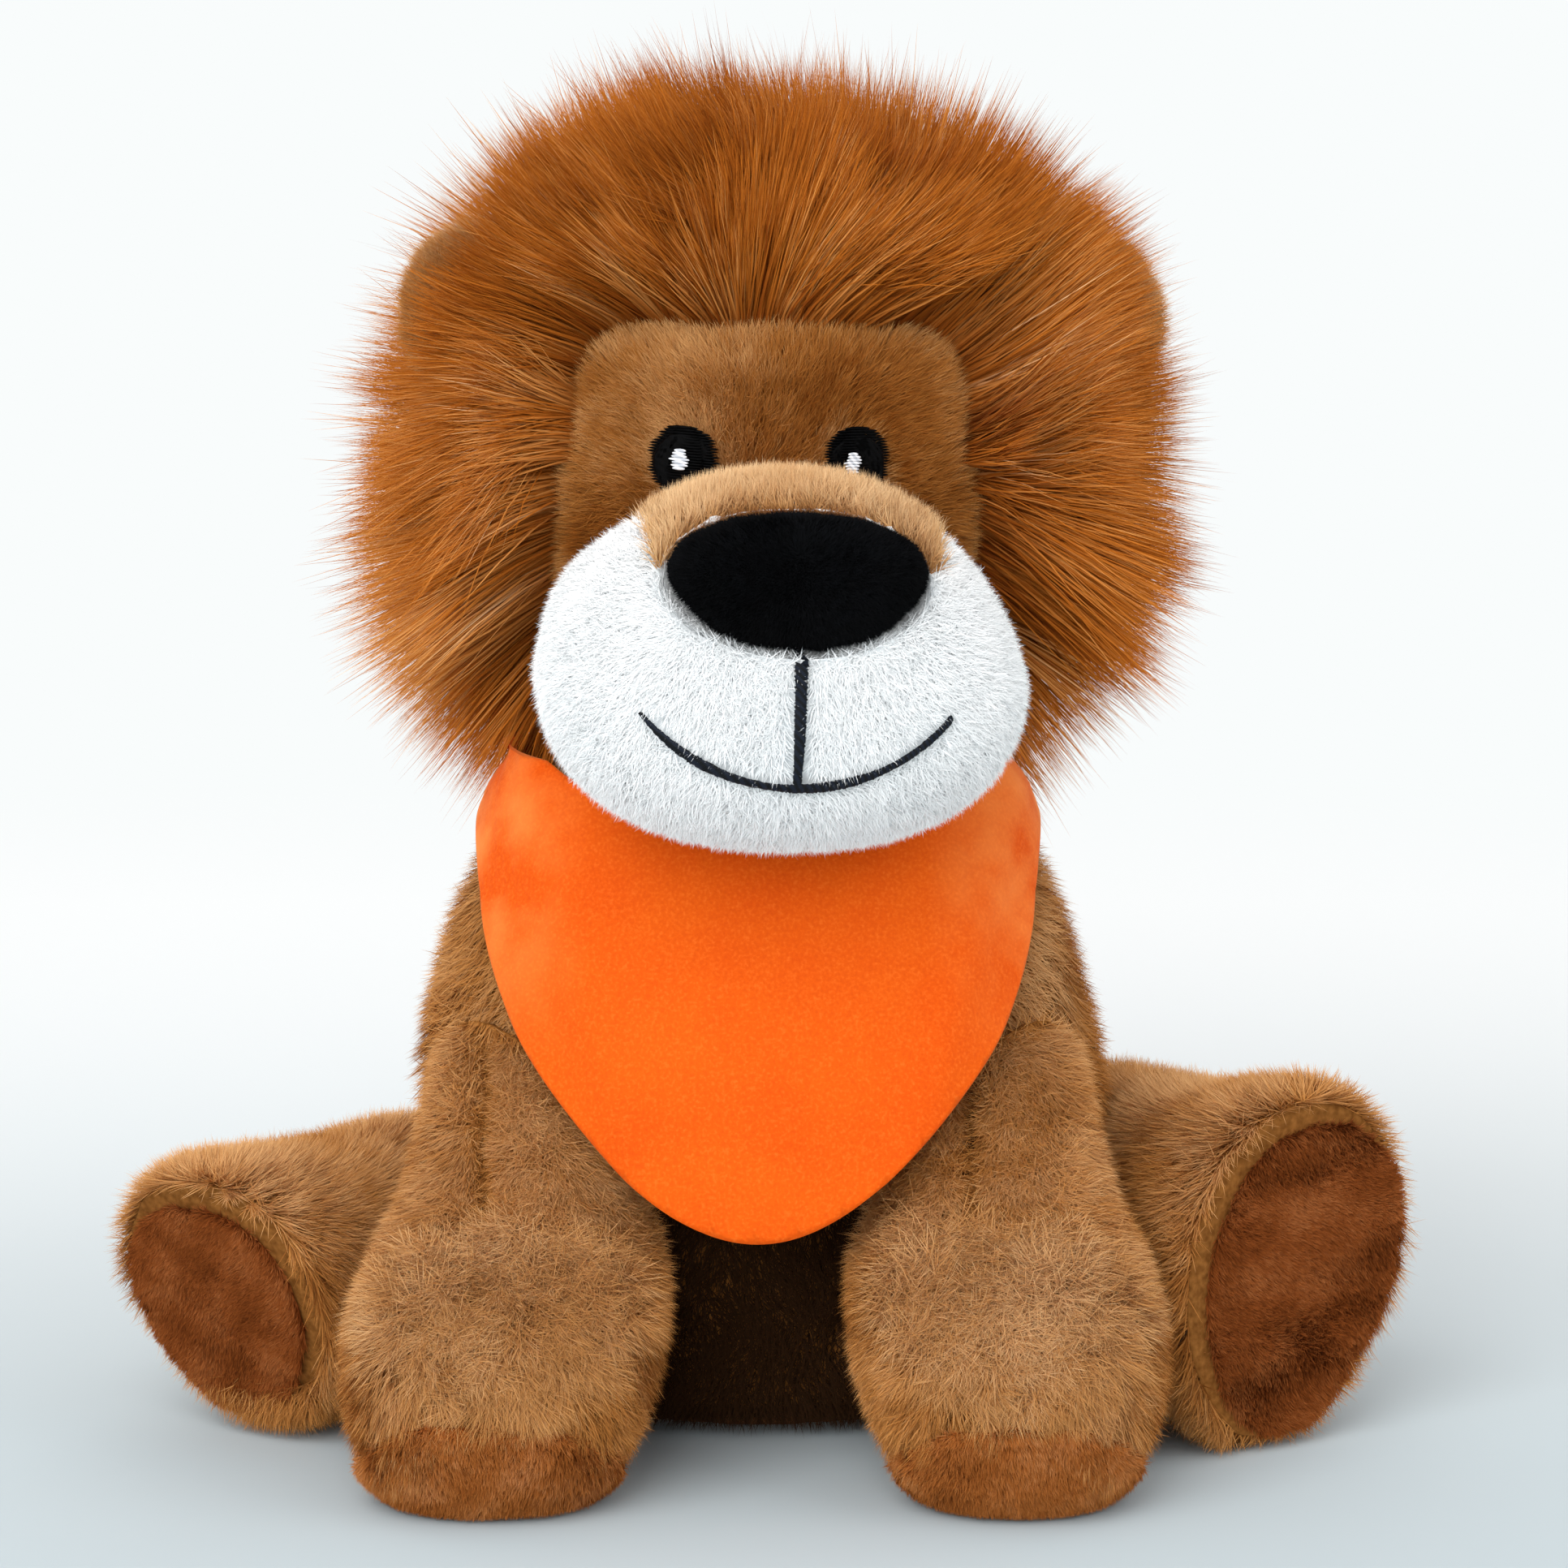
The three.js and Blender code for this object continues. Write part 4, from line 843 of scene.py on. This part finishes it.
roots, normals = scatter(muzzle, MUZZLE_PILE_COUNT, seed=91)
outer = roots + MUZZLE_DEPTH * normals
nodes = ["muzzle_cover", "muzzle_bridge", "nose"]
to_cover, to_bridge, to_nose = (distance_to(outer, node) for node in nodes)
local = in_head(roots)
nose_low, nose_high = box_in_head("nose")
beside_nose = local[:, 2] > (nose_low[2] + nose_high[2]) / 2
bridged = (to_bridge - np.where(local[:, 0] > 0, BRIDGE_RIGHT, BRIDGE_LEFT) * MM < to_cover) & beside_nose
shown = (inside_by(roots, "head_stuffing") < EDGE_CLEAR) & (to_nose > EDGE_CLEAR)
shown &= distance_to(outer, "lip_line") > LIP_CLEAR
shown &= distance_to(outer, "smile_line") > SMILE_CLEAR
nose_middle = spot_in_head(np.array(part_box("nose")).mean(axis=0))
fan = local - nose_middle
fan[:, 1] = np.abs(fan[:, 1]) * 0.4
own = shown & ~bridged
pile(
    "muzzle_pile", ("head", "white_pile", "muzzle_cover"), roots[own], normals[own],
    from_head(fan)[own] + [0, 0, -0.01], white_pile, MUZZLE_PILE, seed=92, lean=60, ruffle=0.9, every=40,
    clump=0.1,
)
own = shown & bridged
for side in ("left", "right"):
    own &= distance_to(outer, f"eye_{side}") > EDGE_CLEAR
up = from_head(np.array([[0, 0.35, 1.0]]))
pile(
    "muzzle_bridge_pile", ("head", "light_pile", "muzzle_bridge"), roots[own], normals[own], up,
    bridge_pile, BRIDGE_PILE, seed=93, width=FINE_STRAND, lean=48,
)

nose = stuffed_form("nose_ground", ["nose"], depth=0.2 * MM, voxel=FINE_VOXEL, rounding=3, hulled=True)
with mesh_of(nose) as form:
    for vertex in form.verts:
        low = max(0.0, nose_middle[2] - spot_in_head(vertex.co)[2]) / NOSE_HALF
        vertex.co.z -= NOSE_DROP * low
dress_filled(nose, black_ground, 0.95, "head", "black_pile")
roots, normals = scatter(nose, NOSE_PILE_COUNT, seed=94)
shown = in_head(roots)[:, 1] < nose_middle[1] + 6 * MM
pile(
    "nose_pile", ("head", "black_pile", "nose"), roots[shown], normals[shown],
    from_head(in_head(roots[shown]) - nose_middle), black_pile, NOSE_PILE, seed=95, width=FINE_STRAND,
    lean=40,
)

# Embroidery
# The mouth is satin stitch in navy-black thread, sunk a little into the white pile. The eyes are
# padded satin stitch in black thread with a small white highlight, worked in level rows.

THREAD = 0.45 * MM
TWIST = 0.35 * MM
MOUTH_SINK = 0.7 * MM
MOUTH_PITCH, LIP_TOP, LIP_BOTTOM, LIP_X = 0.26 * MM, 23.5 * MM, 3.2 * MM, 0.0
SMILE_STITCHES, SMILE_WIDTH = 200, 1.5 * MM
SMILE_RADIUS, SMILE_MIDDLE = 30.5 * MM, 33.3 * MM
SMILE_HALF_ANGLE = math.radians(49)
EYE_ROW = 0.42 * MM
EYE_SINK, EYE_PADDING = 1.2 * MM, 5.5 * MM
EYE_HALF_WIDTH, EYE_HALF_HEIGHT = 5.2 * MM, 5.4 * MM
EYE_THREAD, RIDGE_THREAD, LIGHT_THREAD = 0.7 * MM, 0.5 * MM, 0.55 * MM
LIGHT_HALF_WIDTH, LIGHT_HALF_HEIGHT, LIGHT_ROWS = 1.45 * MM, 1.7 * MM, 7


def satin_thread(name, dark, light, specular=0.2):
    """Rayon embroidery thread: twisted and fine, with a little shine along each stitch."""
    made, shader = new_material(name)
    place = add_node(made, "TexCoord").outputs["Object"]
    inputs = [("Vector", place), ("Scale", 1 / TWIST / (2 * math.pi)), ("Distortion", 1.5)]
    twist = add_node(made, "TexWave", *inputs, bands_direction="DIAGONAL").outputs["Fac"]
    tone = ramp(made, twist, (0.2, dark), (0.8, light))
    plug(made, shader, ("Base Color", tone), ("Roughness", 0.55), ("Specular IOR Level", specular))
    return made


def on_face(tree, x, z, lift):
    """The place on a surface at x and z of the head's frame, seen from its front and moved forward."""
    start = Vector(from_head(np.array([[x, -200 * MM, z]]))[0] + HEAD_PIVOT)
    ahead = Vector(from_head(np.array([[0, 1.0, 0]]))[0])
    return tree.ray_cast(start, ahead)[0] - lift * ahead


def stitch(form, ends, thickness):
    """One stitch: a thread that dips into the cloth at both ends."""
    start, end = ends
    run = end - start
    turn = run.to_track_quat("Z", "Y").to_matrix().to_4x4()
    size = Matrix.Diagonal((thickness / 2, thickness / 2, run.length / 2, 1))
    place = Matrix.Translation((start + end) / 2) @ turn @ size
    bmesh.ops.create_uvsphere(form, u_segments=6, v_segments=6, radius=1, matrix=place)


@contextmanager
def embroidery(name, thread, node):
    """A new piece of the head, open for stitches."""
    made = placed(name, bpy.data.meshes.new(name))
    with mesh_of(made) as form:
        yield form
        for face in form.faces:
            face.smooth = True
    made.data.materials.append(thread)
    dress(made, "head", "white_thread" if thread is white_thread else "black_thread", node)


def satin_line(name, route, widths, node):
    """A row of slanting stitches along a route of (x, z) places on the muzzle."""
    source = random.Random(name)
    lift = MUZZLE_DEPTH - MOUTH_SINK
    with embroidery(name, navy_thread, node) as form:
        for (x, z), (next_x, next_z), wide in zip(route, route[1:], widths):
            run = Vector((next_x - x, next_z - z)).normalized()
            slant = (0.55 * run + Vector((-run.y, run.x))).normalized() * wide * source.uniform(0.85, 1.12)
            ends = [on_face(muzzle_face, x + k * slant.x / 2, z + k * slant.y / 2, lift) for k in (-1, 1)]
            stitch(form, ends, THREAD * source.uniform(0.95, 1.25))


navy_thread = satin_thread("navy_black_rayon_thread", "#05080D", "#121926")
black_thread = satin_thread("black_rayon_thread", "#010101", "#040405", 0.05)
white_thread = satin_thread("white_rayon_thread", "#C9CDD4", "#FAFBFF")
muzzle_face = surface_of(muzzle)

steps = np.arange(0, LIP_TOP - LIP_BOTTOM, MOUTH_PITCH)
widths = np.interp(steps, [0, 12 * MM, 19 * MM], [2.5 * MM, 2.1 * MM, 1.6 * MM])
satin_line("lip_stitches", [(LIP_X, LIP_TOP - step) for step in steps], widths, "lip_line")
steps = np.linspace(-SMILE_HALF_ANGLE, SMILE_HALF_ANGLE, SMILE_STITCHES)
route = [(SMILE_RADIUS * math.sin(a), SMILE_MIDDLE - SMILE_RADIUS * math.cos(a)) for a in steps]
swell = 1.15 - 0.5 * (np.abs(steps) / SMILE_HALF_ANGLE) ** 4 + 0.2 * np.sin(9 * steps)
satin_line("smile_stitches", route, SMILE_WIDTH * np.clip(swell, 0.5, 1.3), "smile_line")

for side in ("left", "right"):
    eye = f"eye_{side}"
    low, high = box_in_head(eye)
    eye_x, eye_z = (low[0] + high[0]) / 2, (low[2] + high[2]) / 2
    pad = stuffed_form(f"{eye}_padding", [eye], depth=0.3 * MM, voxel=0.7 * MM, rounding=3, hulled=True)
    with mesh_of(pad) as form:
        behind = bmesh.ops.duplicate(form, geom=form.verts[:] + form.edges[:] + form.faces[:])["geom"]
        behind = [v for v in behind if isinstance(v, bmesh.types.BMVert)]
        bmesh.ops.translate(form, verts=behind, vec=Vector(from_head(np.array([[0, EYE_PADDING, 0]]))[0]))
        hull(form)
        bmesh.ops.translate(form, verts=form.verts, vec=EYE_SINK * SEWN_BACK)
    pad.data.materials.append(black_thread)
    dress(pad, "head", "black_thread")
    rise = (on_face(surface_of(eye), eye_x, eye_z, 0) - on_face(skull_face, eye_x, eye_z, 0)).length
    rise -= EYE_SINK
    source = random.Random(side)
    with embroidery(f"{eye}_stitches", black_thread, eye) as rows:
        for z in np.arange(-EYE_HALF_HEIGHT + 0.3 * MM, EYE_HALF_HEIGHT - 0.2 * MM, EYE_ROW):
            reach = EYE_HALF_WIDTH * math.sqrt(max(0.05, 1 - (abs(z) / EYE_HALF_HEIGHT) ** 2.4))
            ends = []
            for k in (-1, 1):
                out = eye_x + k * min(reach - 0.35 * MM, EYE_HALF_WIDTH)
                ragged = k * source.uniform(0.1, 0.8) * MM
                ends.append(on_face(skull_face, out + ragged, eye_z + z, rise - 0.5 * MM))
            stitch(rows, ends, EYE_THREAD)
            above = eye_z + z + 0.15 * MM
            ends = [on_face(skull_face, eye_x + k * reach * 0.55, above, rise) for k in (-1, 1)]
            stitch(rows, ends, RIDGE_THREAD)
    low, high = box_in_head(f"eye_light_{side}")
    light_x, light_z = (low[0] + high[0]) / 2, (low[2] + high[2]) / 2
    with embroidery(f"{eye}_highlight", white_thread, f"eye_light_{side}") as rows:
        for z in np.linspace(-1.35, 1.35, LIGHT_ROWS) * MM:
            reach = LIGHT_HALF_WIDTH * math.sqrt(max(0.3, 1 - (z / LIGHT_HALF_HEIGHT) ** 2))
            reach *= source.uniform(0.85, 1.15)
            middle = light_x + source.uniform(-0.15, 0.15) * MM
            ends = [on_face(skull_face, middle + k * reach, light_z + z, rise + 0.35 * MM) for k in (-1, 1)]
            stitch(rows, ends, LIGHT_THREAD)

# Ears
# Each is a flat rounded cup of two cloths, golden behind and dark in front, sewn into the head
# among the mane's long hair.

EAR_PILE_COUNT, EAR_PILE = 40000, 4.6 * MM
EAR_ROOT = np.array([12, 0, 8]) * MM

for side, mirror in (("left", -1), ("right", 1)):
    ear = f"ear_{side}"
    nodes = [f"ear_back_{side}", f"ear_lining_{side}"]
    ground = stuffed_form(f"{ear}_ground", nodes, depth=1.0 * MM, voxel=FINE_VOXEL, rounding=3)
    dress_filled(ground, brown_ground, 0.4, ear, "short_pile")
    roots, normals = scatter(ground, EAR_PILE_COUNT, seed=101 + mirror)
    cup = nearest_of(roots, nodes)
    comb = roots - (np.array(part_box(nodes[0])).mean(axis=0) - EAR_ROOT * [mirror, 1, 1])
    parts = [("back", golden_pile, "short_pile"), ("lining", brown_pile, "dark_pile")]
    for number, (part, cloth, slot) in enumerate(parts):
        own = cup == number
        worn = (ear, slot, nodes[number])
        seed = 103 + mirror + 7 * number
        pile(f"{ear}_{part}_pile", worn, roots[own], normals[own], comb[own], cloth, EAR_PILE, seed)

# Mane
# Long rust-brown pile, 25 to 40 mm, sewn round the face in three panels. It springs forward off the
# edge of the face, bends back outward and hangs at the sides, in locks with thin pale tips.

MANE_MIDDLE = np.array([4, 10, 46]) * MM
MANE_HALF = np.array([64, 48, 56]) * MM
MANE_SQUARENESS = 2.3
MANE_PLACE_COUNT, MANE_HAIR_COUNT = 400000, 38000
MANE_HAIR, MANE_STRAND = 40 * MM, 0.16 * MM
PARTING = np.array([0, 4, 38]) * MM
HEAD_CORE = np.array([[0, 20, 40]]) * MM
EAR_LEVEL, EAR_SWELL = 58 * MM, 13 * MM
BY_LEFT_EAR, BY_RIGHT_EAR = 17.0, 5.0
WISP_SHARE, WISP_LONGER = 0.11, 0.13


def mane_reach(points):
    """How far places lie from the middle of the mane, where 1 is the CAD mane's surface."""
    shares = np.abs((points - MANE_MIDDLE) / MANE_HALF)
    return (shares ** MANE_SQUARENESS).sum(axis=-1) ** (1 / MANE_SQUARENESS)


roots, normals = scatter(skull, MANE_PLACE_COUNT, seed=111)
outer = roots + FACE_DEPTH * normals
away = np.array([distance_to(outer, part) for part in face_parts])
nearest = away.argmin(axis=0)
local = in_head(roots)
corner = faded(np.abs(local[:, 0]), 20 * MM, 10 * MM) * faded(local[:, 2], 56 * MM, 10 * MM)
over_edge = (nearest == 0) & (local[:, 2] > 44 * MM) & (local[:, 1] < 0)
by_ear = np.exp(-((local[:, 2] - EAR_LEVEL) / EAR_SWELL) ** 2) * faded(local[:, 1], 2 * MM, -8 * MM)
by_ear *= np.where(local[:, 0] < 0, BY_LEFT_EAR, BY_RIGHT_EAR)
local_normals = normals @ HEAD_TURN
clear = (inside_by(roots, "muzzle_stuffing") < -2 * MM) & (local[:, 2] > 4 * MM)
for number, part in ((1, "mane_left"), (2, "mane_right"), (3, "mane_back")):
    at_edge = over_edge & (away[number] < (2.6 + 4 * corner) * MM)
    own = np.flatnonzero(clear & ((nearest == number) | at_edge))
    source = np.random.default_rng(112 + number)
    likely = (1 + by_ear[own]) / (1 + by_ear[own]).sum()
    own = source.choice(own, size=min(MANE_HAIR_COUNT, len(own)), replace=False, p=likely)
    root, normal = local[own], local_normals[own]
    count = len(own)
    beside_ear = np.clip(by_ear[own][:, None], 0, 1)
    outward = root - PARTING
    outward[:, 1:2] *= 0.8 - 0.62 * faded(root[:, 1:2], 12 * MM, -30 * MM)
    outward = unit(outward)
    fall = np.clip(0.95 - (root[:, 2:3] - 6 * MM) / (52 * MM), 0.0, 0.95)
    fall += 0.3 * beside_ear * source.uniform(-1, 1, (count, 1))
    heading = outward + 0.22 * normal + [0, 0.06, 0] - fall * np.array([0, 0, 0.8])
    heading -= beside_ear * np.array([0, 0.34, -0.12])
    heading += 0.27 * waves(root, 30 * MM, 113) + 0.22 * waves(root, 10 * MM, 114)
    heading = unit(heading + 0.13 * source.normal(size=root.shape))
    length = (MANE_HAIR * source.uniform(0.72, 1.12, count))[:, None]
    tips = root + length * heading
    excess = mane_reach(tips)
    limit = source.normal(1.05, 0.05, count)
    limit[source.random(count) < WISP_SHARE] += WISP_LONGER
    low_corner = faded(tips[:, 2], 34 * MM, -22 * MM) * faded(np.abs(tips[:, 0]), 22 * MM, 20 * MM)
    limit += np.where(tips[:, 0] > 0, 0.32, 0.2) * low_corner
    over = excess > limit
    shrink = np.ones(count)
    shrink[over] = np.clip(((limit - mane_reach(root)) / (excess - mane_reach(root)))[over], 0.3, 1)
    tips = root + shrink[:, None] * length * heading
    bends = root + (0.42 * shrink[:, None] * length) * unit(0.7 * normal + 0.7 * heading)
    steps = np.linspace(0, 1, 4)[None, :, None]
    paths = curved(root, bends, tips, steps)
    leader = leaders(root, 30, 115 + number)
    lock = source.uniform(0.05, 0.5, count)[leader][:, None, None]
    paths += lock * steps ** 1.5 * (paths[leader] + 0.35 * (root - root[leader])[:, None] - paths)
    world = paths @ HEAD_TURN.T + HEAD_PIVOT
    run = unit(world[:, -1] - world[:, 0])
    facing = unit(world[:, 1] - (from_head(HEAD_CORE) + HEAD_PIVOT))
    across = unit(across_to(unit(np.cross(run, facing)) + 0.5 * source.normal(size=run.shape), run))
    widths = MANE_STRAND * source.uniform(0.7, 1.25, count)[:, None] * np.array([1.0, 0.9, 0.6])
    shades = 0.47 + 0.12 * waves(root, 24 * MM, 116)[:, 0] + 0.13 * source.normal(size=count)[leader]
    shades += 0.1 * source.normal(size=count)
    # Painted light: the hair on the toy's left side is lighter, most of all low down, as if lit from the
    # left.
    shades += faded(root[:, 0], -18 * MM, -20 * MM) * (0.1 + 0.22 * faded(root[:, 2], 50 * MM, -34 * MM))
    shades -= 0.12 * faded(root[:, 2], 60 * MM, 14 * MM)
    made = blades(f"{part}_hair", world, across, widths, np.clip(shades, 0.01, 0.99), mane_pile)
    dress(made, "head", "mane_pile", part)

# Bandana
# A triangle of orange velvet with a rounded tip, tied at the nape over the chest. Its cut edge is
# pale, and a painted sheen lightens its nap high on the sides, where the cloth turns away.

VELVET = 1.1 * MM
CORNER_LIFT, SIDE_TUCK, TOP_EDGE = 5 * MM, 2.4 * MM, 109.5 * MM
FOLD_HEIGHT, FOLD_HALF_WIDTH = 0.9, 5
FOLDS = [(-31, 88, 0.35), (34, 84, -0.3)]
RIPPLE_HEIGHT, RIPPLE_MIDDLE, RIPPLE_REACH = 0.5, 70, 30

bandana = joined_copy("bandana_cloth", ["bandana"])
with mesh_of(bandana) as form:
    inner = []
    for face in form.faces:
        middle = face.calc_center_median()
        outward = Vector((middle.x, middle.y, 0)).normalized()
        if face.normal.dot(outward) < 0.25:
            inner.append(face)
    bmesh.ops.delete(form, geom=inner, context="FACES")
rounding = bandana.modifiers.new("rounding", "SUBSURF")
rounding.levels = rounding.render_levels = 3
apply_modifiers(bandana)
with mesh_of(bandana) as form:
    form.normal_update()
    for vertex, normal in [(v, v.normal.copy()) for v in form.verts]:
        x, z = vertex.co.x / MM, vertex.co.z / MM
        drawn_in = clamped((abs(x) - 20) / 22) * clamped((101 - z) / 12)
        vertex.co.x -= math.copysign(SIDE_TUCK * drawn_in, x)
        lifted = clamped((abs(x) - 12) / 14) * clamped((z - 90) / 14)
        at_front = clamped((8 * MM - vertex.co.y) / (26 * MM))
        vertex.co.z = min(vertex.co.z + CORNER_LIFT * lifted * at_front, max(vertex.co.z, TOP_EDGE))
        fold = 0.0
        for fold_x, fold_z, slant in FOLDS:
            aside = (x - fold_x) + (z - fold_z) * slant
            fold += FOLD_HEIGHT * math.exp(-(aside / FOLD_HALF_WIDTH) ** 2)
        swell = math.exp(-(z - RIPPLE_MIDDLE) ** 2 / RIPPLE_REACH ** 2)
        fold += RIPPLE_HEIGHT * math.sin(x / 9 + z / 17) * swell
        vertex.co += normal * fold * clamped((104 - z) / 12) * at_front * MM
    flat_area = sum(face.calc_area() for face in form.faces)
    for face in form.faces:
        face.smooth = True
thick = bandana.modifiers.new("cloth", "SOLIDIFY")
thick.thickness = VELVET
thick.offset = -1
thick.material_offset_rim = 1

velvet, shader = new_material("orange_polyester_velvet")
nap = noise(velvet, 0.55 * MM)
brushed = noise(velvet, 14 * MM, detail=3.0)
fine = ramp(velvet, nap, (0.3, "#DC4C00"), (0.52, "#E65800"), (0.75, "#F27020"))
broad = ramp(velvet, brushed, (0.35, "#E05000"), (0.7, "#EA6408"))
place = add_node(velvet, "TexCoord").outputs["Object"]
along = add_node(velvet, "SeparateXYZ", ("Vector", place)).outputs
# Painted sheen: pale patches high on the sides, where the cloth turns away from the front.
sheen_aside = ranged(velvet, worked_out(velvet, "ABSOLUTE", along["X"]), 26 * MM, 44 * MM)
sheen_high = ranged(velvet, along["Z"], 66 * MM, 90 * MM)
painted_sheen = worked_out(velvet, "MULTIPLY", sheen_aside, sheen_high)
painted_sheen = worked_out(velvet, "MULTIPLY", painted_sheen, ranged(velvet, brushed, 0.38, 0.62, top=0.75))
velvet_with_painted_sheen = blend(velvet, painted_sheen, blend(velvet, 0.4, fine, broad), colour("#FF9448"))
plug(velvet, shader, ("Base Color", velvet_with_painted_sheen), ("Normal", relief(velvet, nap, 0.35, 0.25 * MM)))
plug(velvet, shader, ("Roughness", 0.8), ("Specular IOR Level", 0.15))
plug(velvet, shader, ("Sheen Weight", 0.35), ("Sheen Roughness", 0.4), ("Sheen Tint", colour("#FFB070")))
cut_edge, shader = new_material("pale_cut_velvet_edge")
tone = ramp(cut_edge, noise(cut_edge, 0.6 * MM), (0.3, "#F08A10"), (0.7, "#FFC050"))
plug(cut_edge, shader, ("Base Color", tone), ("Roughness", 0.9))
bandana.data.materials.clear()
bandana.data.materials.append(velvet)
bandana.data.materials.append(cut_edge)
dress(bandana, "body", "orange_velvet", "bandana")
knot = stuffed_form("bandana_knot_cloth", ["bandana_knot"], depth=0.2 * MM, voxel=0.8 * MM, rounding=4)
knot.data.materials.append(velvet)
dress(knot, "body", "orange_velvet", "bandana_knot")
